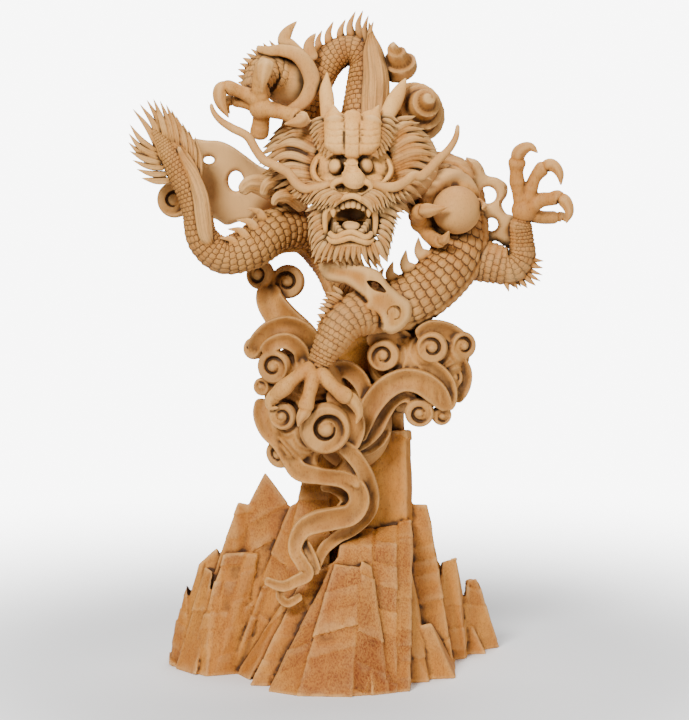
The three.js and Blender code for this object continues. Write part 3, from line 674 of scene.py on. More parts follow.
def scale_lines(nodes):
    """Painted shade in the cut round each scale, a tone of each scale's own and scratches, counted on the
    form's own map.
    """
    spot = nodes.add("ShaderNodeUVMap", {"uv_map": "UVMap"})
    cells = nodes.add("ShaderNodeSeparateXYZ", None, [spot])
    rows = nodes.add("ShaderNodeSeparateXYZ", None, [spot], output=1)

    def aside(row):
        half = (row * 0.5).math("FRACT") + cells
        return (half.math("FRACT") * 2 - 1).math("ABSOLUTE")

    def lip(row):
        return (1 - aside(row) ** 4.0).math("MAXIMUM", 0.0) ** 0.5 * SCALE_LIP
    low = rows.math("FLOOR")
    row = low + (rows > low + lip(low))
    start = row - 1 + lip(row - 1)
    share = (rows - start) / (row + lip(row) - start)
    turned = (cells / SCALES_ROUND - 0.5).math("ABSOLUTE")
    back = 1 - turned.step_up(BELLY_FROM / 2 / math.pi - 0.01, BELLY_FROM / 2 / math.pi + 0.01)
    # Painted shade along the cut under each scale's free edge, and down the seams between scales.
    seam_shade = aside(row).step_up(0.8, 0.98)
    line = (1 - share.step_up(0.05, 0.28)).math("MAXIMUM", seam_shade * 0.8) * back
    column = ((row * 0.5).math("FRACT") + cells).math("FLOOR")
    single = nodes.add("ShaderNodeCombineXYZ", None, [column, row])
    tone = nodes.add("ShaderNodeTexWhiteNoise", {"noise_dimensions": "2D"}, {"Vector": single})
    scratch = nodes.noise(nodes.stretched(spot, (9, 1.6, 1)), 1.0, 2.0)
    shade = line + tone * back * 0.16 + scratch.step_up(0.52, 0.75) * 0.3
    return shade, scratch * 1.8 - line * 2.5 + tone * 1.5


def strand_lines(nodes):
    """Fine cuts along hair, frills and fins, which follow the form's own map, with painted shade down each
    cut.
    """
    spot = nodes.add("ShaderNodeUVMap", {"uv_map": "UVMap"})
    strands = nodes.noise(nodes.stretched(spot, (1.3, 0.09, 1)), 1.0, 2.0)
    # Painted shade down each fine cut.
    line = 1 - (strands - 0.5).math("ABSOLUTE").step_up(0.0, 0.05)
    return line * 0.5, strands * 1.5 - line * 1.6


FACE_LIGHT = srgb(238, 180, 104)
FACE_DARK = srgb(220, 156, 78)
SCALE_LIGHT = srgb(200, 142, 72)
SCALE_DARK = srgb(174, 112, 48)
CLOUD_LIGHT = srgb(190, 133, 66)
CLOUD_DARK = srgb(158, 102, 42)
ROCK_LIGHT = srgb(200, 134, 54)
ROCK_DARK = srgb(178, 110, 38)
ROCK_SPOTS = srgb(116, 54, 10)

PALE_WOOD = carved_wood("pale_wood", PALE, TAN)
FACE_WOOD = carved_wood("face_wood", FACE_LIGHT, FACE_DARK, 0.3, 0.35)
SCALED_WOOD = carved_wood("scaled_wood", SCALE_LIGHT, SCALE_DARK, 0.45, pattern=scale_lines)
STRAND_WOOD = carved_wood("strand_wood", PALE, TAN, 0.4, pattern=strand_lines)
CLOUD_WOOD = carved_wood("cloud_wood", CLOUD_LIGHT, CLOUD_DARK)
ROCK_WOOD = carved_wood("rock_wood", ROCK_LIGHT, ROCK_DARK, 0.7, 0.5, mottle, ROCK_SPOTS)


# The dragon's body, from inside the head, over the top, round behind the head and out to the tail.

BODY = [
    [352, 165, -52, 20, 50], [358, 132, -22, 20, 60], [366, 95, 4, 21, 60], [367, 64, 14, 19, 50],
    [352, 50, 18, 15.5, 40], [330, 60, 20, 16, 30], [312, 90, 24, 18, 10], [302, 132, 34, 21, 0],
    [318, 176, 52, 23, -10], [362, 194, 60, 25, -20], [415, 180, 48, 27, -10], [450, 182, 20, 26, 0],
    [461, 212, -2, 25.5, 10], [459, 252, -26, 26.5, 15], [430, 287, -42, 27, 15], [392, 306, -42, 27, 10],
    [356, 296, -8, 24, 0], [334, 262, 20, 22, 0], [308, 232, 4, 23, 10], [276, 231, -28, 22.5, 30],
    [250, 248, -44, 21, 50], [223, 255, -50, 18.5, 60], [203, 239, -52, 16, 65], [197, 213, -52, 14.5, 65],
    [190, 190, -50, 14, 60], [178, 168, -47, 13, 50], [164, 146, -45, 9, 10], [152, 128, -44, 4, 0],
]
TAIL_STRAND = [
    [212, 246, -64, 3], [206, 236, -68, 7], [203, 215, -68, 8], [200, 195, -65, 7.5], [193, 176, -60, 6],
    [184, 160, -56, 4], [178, 146, -52, 1.5],
]


ARCH_THORNS = [
    [[320, 50, 18], [322, 30, 16], 10], [[330, 45, 18], [333.5, 21, 16], 11],
    [[342, 42, 18], [345.6, 19, 16], 11],
    [[352, 38, 16], [355.5, 11, 14], 11], [[361, 37, 14], [363, 10, 12], 10],
    [[368, 40, 6], [368.5, 15, 4], 9],
    [[373, 46, 0], [373.5, 21, -2], 9],
]
FINS = [
    [[264, 223, -47], [246, 208, -52], 12], [[256, 232, -53], [236, 220, -59], 13],
    [[247, 240, -58], [227, 229, -63], 12], [[237, 248, -61], [219, 238, -65], 11],
]


def body():
    trunk = limb(BODY, SCALED_WOOD, 1, 108, 1.5, scales(), (SCALES_ROUND, SCALE_PITCH), even=26)
    strand = limb(TAIL_STRAND, STRAND_WOOD, 0.8, 24, 2.2, flutes(3, 0.16), (8, 10))
    return [
        trunk,
        strand,
        *[thorn(*drawn([base, tip]), width, PALE_WOOD, -0.14, 0.6, 16) for base, tip, width in ARCH_THORNS],
        *[thorn(*drawn([base, tip]), width, PALE_WOOD, 0.22, 0.4, 16) for base, tip, width in FINS],
        *ridge(BODY, PALE_WOOD, 8.5, 10.5, 4, 16),
        *ridge(BODY, PALE_WOOD, 12.6, 15.2, 6, 24, -0.3, 0.5, -0.2),
        *ridge(BODY, PALE_WOOD, 17.2, 18.4, 3, 13, 0.7, 0.5, 0.18),
    ]


TAIL_WEB = [[194, 192, -50, 11], [185, 174, -49, 13.5], [174, 158, -47, 14], [164, 149, -46, 11],
            [156, 142, -46, 5]]
TAIL_FAN = [
    {"roots": [[160, 154, -47], [166, 148, -47], [178, 152, -47], [188, 164, -47], [198, 182, -47]],
     "tips": [[132.5, 108.5, -44], [150, 98.5, -43], [166, 104, -42], [179, 119, -41], [195, 136, -40]],
     "count": 11, "width": 8.6, "bow": 0.06, "ripple": 1.2},
    {"roots": [[158, 152, -48], [160, 160, -49], [166, 168, -50], [172, 180, -51]],
     "tips": [[129.5, 124, -46], [128, 142, -48], [132, 160, -50], [141, 178, -52]],
     "count": 7, "width": 8, "bow": -0.08, "ripple": 1.2},
]


def tail_fan():
    web = limb(TAIL_WEB, STRAND_WOOD, 0.5, 40, 1.8, flutes(6, 0.05), (14, 10))
    return [web] + [leaf for row in TAIL_FAN for leaf in locks(wood=STRAND_WOOD, thick=0.55, ring=16, **row)]


# Legs. A station is [across, down, depth, radius], and a palm is a ball's centre and its radii.

LEGS = {
    "lower_front": {
        "leg": [[396, 306, -46, 24], [368, 311, -70, 23], [346, 321, -82, 20], [331, 342, -86, 16],
                [321, 360, -86, 12], [316, 372, -87, 11]],
        "palm": [[[315, 374, -90], [10, 10, 9]]],
        "toes": [
            [[316, 368, -90, 8], [306, 371, -94, 8], [294, 379, -98, 6.6], [285, 387, -99, 8.2],
             [278, 393, -97, 7.2], [274, 398, -94, 5]],
            [[314, 370, -92, 8], [312, 382, -99, 7.5], [309, 395, -104, 6.4], [306, 406, -107, 7.8],
             [304, 412, -107, 6.6]],
            [[317, 369, -90, 8], [325, 378, -96, 7.8], [335, 388, -101, 6.6], [344, 395, -102, 8.2],
             [351, 399, -100, 7]],
        ],
        "claws": [
            [[282, 390, -98, 5], [275, 395, -96, 6.4], [270, 401, -94, 5.2], [271, 407, -93, 3.6],
             [279, 408, -94, TIP]],
            [[307, 404, -107, 5], [305, 411, -109, 6.2], [301, 418, -110, 4.8], [298, 427, -109, TIP]],
            [[345, 395, -101, 5], [351, 399, -100, 6.6], [357, 407, -98, 5.4], [359, 415, -98, 3.6],
             [356, 424, -99, TIP]],
        ],
    },
    "upper_left": {
        "leg": [[308, 90, 14, 24], [287, 80, -14, 24], [268, 72, -26, 20], [256, 84, -38, 14],
                [259, 97, -44, 11.5], [262, 104, -48, 11]],
        "palm": [[[261, 108, -51], [12, 11.5, 11]]],
        "toes": [
            [[262, 104, -50, 8], [259, 90, -58, 7], [261, 76, -65, 8], [264, 68, -70, 9],
             [265, 66, -76, 8.4]],
            [[262, 104, -52, 8], [250, 96, -55, 7.4], [240, 91.5, -57, 6.2], [229, 87.5, -60, 7.2],
             [222, 88, -62, 7.4]],
            [[260, 108, -48, 8], [250, 103, -46, 7.4], [240, 101, -44, 6.6], [231, 100, -43, 6.8]],
            [[264, 108, -53, 9], [276, 111, -57, 7.6], [287, 114, -61, 7], [297, 117, -65, 9],
             [301, 118.5, -67, 8.4]],
            [[262, 110, -46, 9], [261, 122, -41, 8.6], [259.5, 132, -38, 9.4], [258, 140, -36, 7.5]],
        ],
        "claws": [
            [[264, 68, -70, 7], [265.5, 65, -78, 8], [264.5, 71, -84, 7.2], [263, 80, -87, 5],
             [262, 93, -86, TIP]],
            [[228, 87, -60, 6], [221, 89, -63, 6.8], [219.5, 97, -66, 6.4], [222, 106, -68, 4.6],
             [229, 118, -69, TIP]],
            [[234, 100, -43, 5.5], [228, 101, -42, 5.4], [226, 107, -41, 3.8], [230, 114, -41, TIP]],
            [[298, 117, -66, 6], [302, 119, -72, 7.6], [299, 121.5, -78, 6.2], [292, 123, -82, 3.6],
             [284, 124, -84, TIP]],
        ],
    },
    "right": {
        "leg": [[466, 256, -16, 24], [492, 263, -22, 20], [511, 266, -24, 18], [521, 256, -24, 15],
                [522, 240, -24, 12], [521, 226, -25, 11], [523, 216, -26, 11]],
        "palm": [[[524, 210, -28], [12.5, 12.5, 10.5]]],
        "toes": [
            [[522, 208, -28, 8], [518.5, 192, -30, 6.6], [517, 182, -31, 7.8], [516.5, 172, -32, 6.8],
             [517, 163, -33, 8.8], [518, 156, -35, 7.6]],
            [[527, 206, -29, 8], [530.5, 190, -31, 7.2], [535, 178, -32, 6.2], [542, 169, -34, 7.6],
             [547, 165.5, -35, 7]],
            [[528, 209, -29, 8], [540, 200.5, -32, 7.6], [550, 199, -34, 6.8], [558, 197.5, -37, 7.6],
             [562, 200, -39, 7]],
            [[527, 213, -26, 8], [540, 217, -20, 6.8], [550, 217.5, -17, 6.6], [559, 217, -15, 6.4]],
        ],
        "claws": [
            [[517, 161, -34, 6.4], [519, 153, -37, 7.2], [525, 148, -40, 6], [531.5, 147.5, -42, 4.2],
             [538, 153, -44, TIP]],
            [[544, 168, -34, 6], [550, 165, -37, 6.6], [556, 168, -40, 5.6], [560, 175, -42, 4],
             [561, 185.5, -43, TIP]],
            [[559, 198.5, -38, 6], [564.5, 201, -41, 6.6], [568.5, 208, -44, 5.4], [569, 215, -46, 3.8],
             [566, 223.5, -47, TIP]],
            [[556, 217, -16, 5], [563, 217, -15.5, 4.6], [566, 222, -17, TIP]],
        ],
    },
    "pearl": {
        "leg": [[442, 176, 26, 20], [428, 196, 0, 17], [421, 212, -26, 13], [422, 221, -38, 11]],
        "palm": [[[422, 222, -42], [12, 11, 11]]],
        "toes": [
            [[421, 221, -44, 9], [418, 216, -56, 7.6], [420, 212, -66, 8.2], [424, 211.5, -72, 7.6]],
            [[474, 204, -30, 8], [480, 205, -44, 6]],
            [[424, 226, -38, 9], [430, 236, -50, 7.4], [438, 241, -60, 7], [442, 240, -66, 6.2]],
        ],
        "claws": [
            [[422, 211.5, -70, 6], [427, 210.5, -77, 7.2], [435, 209.5, -82, 5], [448, 207, -84, TIP]],
            [[480, 205, -42, 5], [483.5, 207, -54, 4], [482, 209, -63, TIP]],
            [[440, 241, -64, 5], [445, 238.5, -72, 4.6], [449, 231, -79, TIP]],
        ],
    },
}
SPURS = {
    "lower_front": {"roots": [[343, 300, -84], [334, 314, -86], [325, 338, -86]],
                    "tips": [[326, 292, -84], [317.5, 308, -86], [315, 336, -86]], "count": 9, "width": 6.4},
    "lower_front_back": {"roots": [[342, 296, -78], [332, 310, -78], [326, 330, -78]],
                         "tips": [[333, 286, -76], [321, 302, -76], [316, 324, -76]], "count": 6, "width": 7},
    "upper_left": {"roots": [[284, 66, -30], [266, 64, -32], [253, 74, -33], [250, 92, -34]],
                   "tips": [[269, 40, -30], [249, 50, -30], [238, 67, -30], [238, 89, -30]], "count": 11,
                   "width": 7.6},
    "upper_left_back": {"roots": [[280, 74, -26], [264, 74, -26], [256, 84, -26], [256, 96, -26]],
                        "tips": [[262, 50, -24], [250, 58, -24], [243, 72, -24], [244, 90, -24]],
                        "count": 8, "width": 7},
    "right": {"roots": [[524, 256, -29], [522, 270, -29], [506, 273, -29]],
              "tips": [[544, 261, -29], [539, 284, -29], [509, 292, -29]], "count": 8, "width": 6.5},
    "right_back": {"roots": [[520, 258, -22], [518, 268, -22], [506, 270, -22]],
                   "tips": [[538, 264, -22], [530, 284, -22], [515, 288, -22]], "count": 6, "width": 6.5},
}


SPUR_SHAPE = {"thick": 0.55, "step": 1.4, "ripple": 1.0, "bow": 0.05}


def wrinkled(run, around, radius):
    """Skin that folds across a toe, most at the back of its joints."""
    return 0.03 * radius * np.sin(run / 1.3) * step_up(np.cos(around + math.pi / 2), 0.1, 0.9)


def bladed(run, around, radius):
    """A talon is hollowed on both sides of its back, and sharp below."""
    return -0.14 * radius * np.sin(2 * (around + math.pi / 2)) ** 2


def paw(parts):
    """The palm and the toes flow into one another, and a talon stands out of each sheath."""
    flesh = [ball(centre, radii, PALE_WOOD, 36) for centre, radii in parts["palm"]]
    flesh += [limb(toe, PALE_WOOD, 1, 28, 1.6, wrinkled) for toe in parts["toes"]]
    skin = fused(flesh, 0.9, 4, PALE_WOOD)
    return [skin] + [limb(claw, PALE_WOOD, 0.85, 28, 1.3, bladed, blunt=0.5) for claw in parts["claws"]]


LEG_PITCH = 6.5


def legs():
    made = []
    for parts in LEGS.values():
        skin = scales(1.8, False, LEG_PITCH)
        made.append(limb(parts["leg"], SCALED_WOOD, 1, 60, 1.4, skin, (SCALES_ROUND, LEG_PITCH), even=21))
        made += paw(parts)
    for number, spurs in enumerate(SPURS.values()):
        made += locks(wood=STRAND_WOOD, seed=number + 5, **SPUR_SHAPE, **spurs)
    return made


PEARL = [456.5, 210, -52]


def pearl():
    rings = lambda points, share, around: 0.25 * np.sin(60 * points[:, 2] + 6 * points[:, 0])
    return [
        ball(PEARL, [23.5, 23.5, 23.5], PALE_WOOD, 64),
        ball([449, 202, -28], [31, 33, 24], PALE_WOOD, 48, rings),
    ]


# Flames at the joints: smooth flat licks on the shoulder, the hip and beside the right leg.

COLLAR = [
    [256, 48, -30, 3], [268, 51, -36, 5], [282, 50.5, -40, 6], [297, 55, -43, 7.2], [308, 68, -42, 8],
    [312, 84, -41, 8], [305, 100, -42, 7], [292, 109, -45, 5], [280, 111, -47, 2.5],
]
SHOULDER_HORN = [[302, 62, -28, 10], [291, 50, -30, 9], [284.5, 40, -29, 7], [288, 31, -28, 5],
                 [297, 21, -27, TIP]]
SMALL_FLAME = [[312, 62, -4, 8], [309, 48, -6, 6], [311, 40, -6, 4], [316, 33, -6, TIP]]
HIP_PLATE = [
    [317.7, 264], [320.5, 273], [326, 280], [338, 283], [345, 284], [352, 288], [358, 293.5], [366, 301.5],
    [357, 299.5], [356, 304.7], [360.5, 309], [366, 311.5], [373, 312.5], [378, 316], [381, 322], [381, 328],
    [385, 332], [392.8, 334], [403, 328], [411, 317], [411, 303], [400, 294], [388.6, 284], [380, 272],
    [366, 266], [345, 262], [330, 261],
]
HIP_THICK = 12
HIP_DEPTHS = [[317, 335, 354, 368, 385, 411], [-60, -72, -82, -90, -86, -74]]
LATTICE = [
    [460, 154], [467, 157], [477, 160], [483, 167], [487, 175], [498, 178], [507, 185], [507, 195],
    [502, 204], [506, 213], [515, 219], [515, 250], [506, 247], [494, 241], [486, 252], [470, 250],
    [462, 226], [466, 196], [474, 178], [471, 168],
]
LATTICE_HOLES = [[488, 195, 8.2, 8.2], [491.5, 224.4, 6.4, 6.4]]


HIP_MARK = [394, 313]
HIP_MARK_RADIUS = 6.5


def hip_depth(across):
    return np.interp(across, *HIP_DEPTHS)


def hip_mark():
    """The round mark cut in the hip's flame, deepest at its upper right."""
    mark = []
    for turn in np.radians(np.linspace(-200, 90, 9)):
        across = HIP_MARK[0] + HIP_MARK_RADIUS * math.cos(turn)
        down = HIP_MARK[1] + HIP_MARK_RADIUS * math.sin(turn)
        width = 0.7 + math.exp(-(((turn + 0.8) / 0.9) ** 2))
        mark.append([across, down, hip_depth(across) - HIP_THICK / 2, width])
    return mark


def flames():
    lattice = slab(LATTICE, LATTICE_HOLES, -14, 13, PALE_WOOD)
    hip = slab(HIP_PLATE, [], hip_depth, HIP_THICK, PALE_WOOD, 2.0, 4.5)
    eye = limb([[366, 280, -90, 1], [376, 286, -92, 4.4], [386, 292, -90, 1]], PALE_WOOD, 3, 20, 1.2)
    return [
        lattice,
        cut(hip, [eye, limb(hip_mark(), PALE_WOOD, 1, 16, 1.0)]),
        limb(COLLAR, PALE_WOOD, 0.9, 28, 2.0, flutes(1, 0.1)),
        ball([286, 80, -24], [24, 25, 16], SCALED_WOOD, 40),
        limb(SHOULDER_HORN, PALE_WOOD, 0.62, 28, 1.8),
        limb(SMALL_FLAME, PALE_WOOD, 0.55, 24, 1.8),
    ]


# The head faces the viewer: a domed brow, round eyes, a broad nose and a wide open mouth.

SKULL = [
    [[352, 158, -52], [30, 34, 34]],
    [[352, 138, -68], [30, 22, 24]],
    [[328, 140, -60], [12, 20, 17]],
    [[377, 140, -60], [12, 20, 17]],
    [[330, 170, -62], [20, 20, 20]],
    [[375, 170, -62], [20, 20, 20]],
    [[352, 184, -74], [36, 16, 21]],
    [[332, 190, -86], [15, 10, 13]],
    [[373, 190, -86], [15, 10, 13]],
    [[351, 222, -62], [26, 27, 24]],
    [[324, 214, -72], [9, 20, 16]],
    [[379, 214, -72], [9, 20, 16]],
]
BROW = [
    [[335, 112, -66, 9], [334.5, 124, -76, 10.4], [335.5, 136, -84, 11], [336, 147, -88.5, 11],
     [334, 155, -90, 7.5]],
    [[352.5, 112, -68, 9], [352.5, 124, -78, 10], [352.5, 138, -86, 11], [352.5, 150, -91, 10.6],
     [352.5, 160, -92, 7]],
    [[370, 112, -66, 9], [370.5, 124, -76, 10.4], [369.5, 136, -84, 11], [368.5, 147, -88.5, 11],
     [371, 155, -90, 7.5]],
]
BROW_FLAT = 0.85
BROW_CREASES = [
    [129, 327, 379], [135, 327, 379], [143.5, 327, 379], [163.5, 346, 358], [167, 346, 359],
    [170.5, 346, 359],
]
BROW_CREASE_DEPTH = 0.95
BROW_GAPS = [344, 360]
BROW_GAP_DEPTH = 1.2
NOSE = [[352, 158, -88, 6], [352, 167, -92, 7.5], [353, 175, -97, 10.5], [353.5, 182, -100, 13],
        [353, 187, -98, 11.5]]
WINGS = [
    [[344, 180, -102, 3], [337, 181.5, -102, 3.2], [332.5, 186, -100, 2.8], [335, 191.5, -100, 2.6],
     [342, 194.5, -102, 2.4], [350, 193, -103, 2]],
    [[361, 181, -102, 3], [367, 182.5, -102, 3.2], [371, 187, -100, 2.8], [368, 192, -100, 2.6],
     [361, 195, -102, 2.4], [355, 193, -103, 2]],
]
LIPS = [
    [[326, 238, -90, 2.4], [325, 224, -92, 2.6], [326, 212, -96, 2.8], [333, 205, -100, 2.9],
     [342, 198.5, -104, 3], [353, 195.8, -106, 3], [363, 200.5, -104, 3], [370, 206, -100, 2.9],
     [374.5, 213, -96, 2.8], [375.5, 224, -92, 2.6], [374, 238, -90, 2.4]],
    [[329, 232, -95, 2.4], [333, 236, -100, 2.8], [338, 236.5, -103, 2.8], [344, 233.5, -105, 2.8],
     [351, 232, -106, 2.8], [358, 234, -105, 2.8], [364, 237, -103, 2.8], [369, 236, -100, 2.8],
     [372, 232, -95, 2.4]],
    [[327, 237, -93, 2.6], [333, 241, -99, 3.2], [341, 240, -103, 3.2], [350, 237.5, -105, 3.2],
     [359, 240, -103, 3.2], [368, 242, -99, 3.2], [374, 238, -93, 2.6]],
    [[327, 240, -86, 5], [333, 244.5, -93, 5], [351, 243, -97, 5], [369, 245, -93, 5], [375, 240, -86, 5]],
]
CHEEKS = [
    [[318, 158, -76, 1.6], [313.5, 170, -82, 2.4], [317, 179, -86, 2.6], [325, 184, -90, 2],
     [334, 182, -95, 1.6]],
    [[387, 158, -76, 1.6], [391, 170, -82, 2.4], [386, 180, -86, 2.6], [379, 185.5, -90, 2],
     [371, 183, -95, 1.6]],
    [[343, 163, -95, 1.4], [352.5, 165, -97, 1.6], [361, 163, -95, 1.4]],
    [[344, 168, -97, 1.4], [352.5, 170.5, -100, 1.6], [360, 168, -97, 1.4]],
    [[341, 174, -98, 1.3], [347, 172, -100, 1.5], [352.5, 174, -103, 1.5], [358, 172, -100, 1.5],
     [364, 174, -98, 1.3]],
]
EYES = [[335.8, 166.5, -87], [365.9, 165.8, -87]]
MOUTH = [351, 217, -100]
TONGUE = [[351, 236, -60, 9], [351, 230, -76, 9.5], [351.5, 227, -88, 9], [351.5, 230, -97, 6]]
FRONT_HORNS = [
    [[335, 130, -80, 9.8], [334.5, 122, -76, 9.4], [334, 114, -71, 6.6], [333, 104, -66, TIP]],
    [[370.5, 130, -80, 9.8], [372, 122, -76, 9.2], [374.5, 115, -71, 6.4], [379, 105, -66, TIP]],
]
BACK_HORNS = [
    [[324, 130, -66, 3], [327, 118, -60, 6], [327, 102, -52, 7.2], [326, 88, -46, 6], [327, 72, -40, TIP]],
    [[380, 130, -66, 4], [388, 114, -56, 7.5], [395, 100, -48, 8], [401, 88, -42, 5.5], [406, 78, -36, TIP]],
]


def ringed(run, around, radius):
    """A ring round the root of a horn, with a cut above it."""
    return 1.2 * np.exp(-(((run - 8.5) / 1.4) ** 2)) - 0.8 * np.exp(-(((run - 11.5) / 1.2) ** 2))


def face():
    bones = [ball(centre, radii, FACE_WOOD, 36) for centre, radii in SKULL]
    ridges = [limb(route, FACE_WOOD, 1, 24, 1.6) for route in [NOSE, *WINGS, *CHEEKS]]
    ridges += [limb(route, FACE_WOOD, BROW_FLAT, 40, 1.6) for route in BROW]
    lump = fused(bones + ridges, 0.8, 2, FACE_WOOD)
    points = coordinates(lump)
    across, down = seen(points)
    cut_in = np.zeros(len(points))
    for level, left, right in BROW_CREASES:
        off = down - level - 1.2 * np.sin(np.pi * (across - 327) / 17) ** 2
        inside = step_up(across, left - 2, left + 1) * (1 - step_up(across, right - 1, right + 2))
        cut_in = np.maximum(cut_in, BROW_CREASE_DEPTH * inside * np.exp(-(off**2)))
    for middle in BROW_GAPS:
        inside = step_up(down, 120, 126) * (1 - step_up(down, 156, 159))
        cut_in = np.maximum(cut_in, BROW_GAP_DEPTH * inside * np.exp(-((across - middle) ** 2)))
    front = facing(lump)
    lay(lump, points - front * (cut_in * (front[:, 1] < 0) * MM)[:, None])
    sockets = [ball([x, y + 0.5, -95], [8.4, 9.2, 10], FACE_WOOD, 32) for x, y, _ in EYES]
    nostrils = [
        limb([[335, 186.5, -105, 2], [339, 188.5, -107, 3.4], [344, 192, -108, 2]], FACE_WOOD, 2.2, 20, 1.0),
        limb([[369, 187.5, -105, 2], [365.5, 189, -107, 3.2], [361, 192.5, -108, 2]], FACE_WOOD, 2.2, 20,
             1.0),
    ]
    mouth = [
        ball(MOUTH, [20, 17, 34], FACE_WOOD, 56), ball([350.5, 226, -98], [21, 8.5, 32], FACE_WOOD, 48),
        ball([351.5, 206, -98], [13, 9, 30], FACE_WOOD, 40),
    ]
    return cut(lump, sockets + nostrils + mouth)


def teeth():
    made = []
    for i in range(6):
        across = 337.5 + 5.2 * i
        bend = abs(across - 351) / 12.5
        root = [across, 199 + 4.5 * bend**2, -100 + 4 * bend]
        tip = [across, 208.5 + 3 * bend**2, -101.5 + 5 * bend]
        made.append(limb([[*root, 3.2], [*tip, 2.7]], FACE_WOOD, 0.7, 16, 1.0, blunt=0.7))
    for across, lean in ((332, 1), (370, -1)):
        fang = [[across, 207, -96, 3], [across + lean, 212, -98, 2.8], [across + 1.5 * lean, 218, -98, TIP]]
        made.append(limb(fang, FACE_WOOD, 1, 16, 1.2))
        for i in range(4):
            foot = [across + lean * (1.4 + 2.4 * i), 233 + 0.8 * i, -82 - 5.5 * i]
            top = [across + lean * (1.4 + 2.4 * i), 218 + 3.4 * i, -82 - 5.5 * i]
            made.append(limb([[*foot, 3.6], [*top, 2.8]], FACE_WOOD, 0.8, 16, 1.2, blunt=0.7))
    return made


def head():
    groove = lambda run, around, radius: -1.4 * np.exp(-(((around + math.pi / 2) / 0.28) ** 2))
    return [
        face(),
        *[limb(route, FACE_WOOD, 0.9, 28, 1.6) for route in LIPS],
        *[ball(place, [6.6, 7.8, 9.0], FACE_WOOD, 36) for place in EYES],
        limb(TONGUE, FACE_WOOD, 0.6, 32, 1.6, groove),
        *teeth(),
        *[limb(route, FACE_WOOD, 1, 32, 1.2, ringed) for route in FRONT_HORNS],
        *[limb(route, FACE_WOOD, 0.8, 32, 1.4) for route in BACK_HORNS],
    ]


# Hair: a fringe under each brow, the moustache, the beard round the jaw, and the mane swept back.

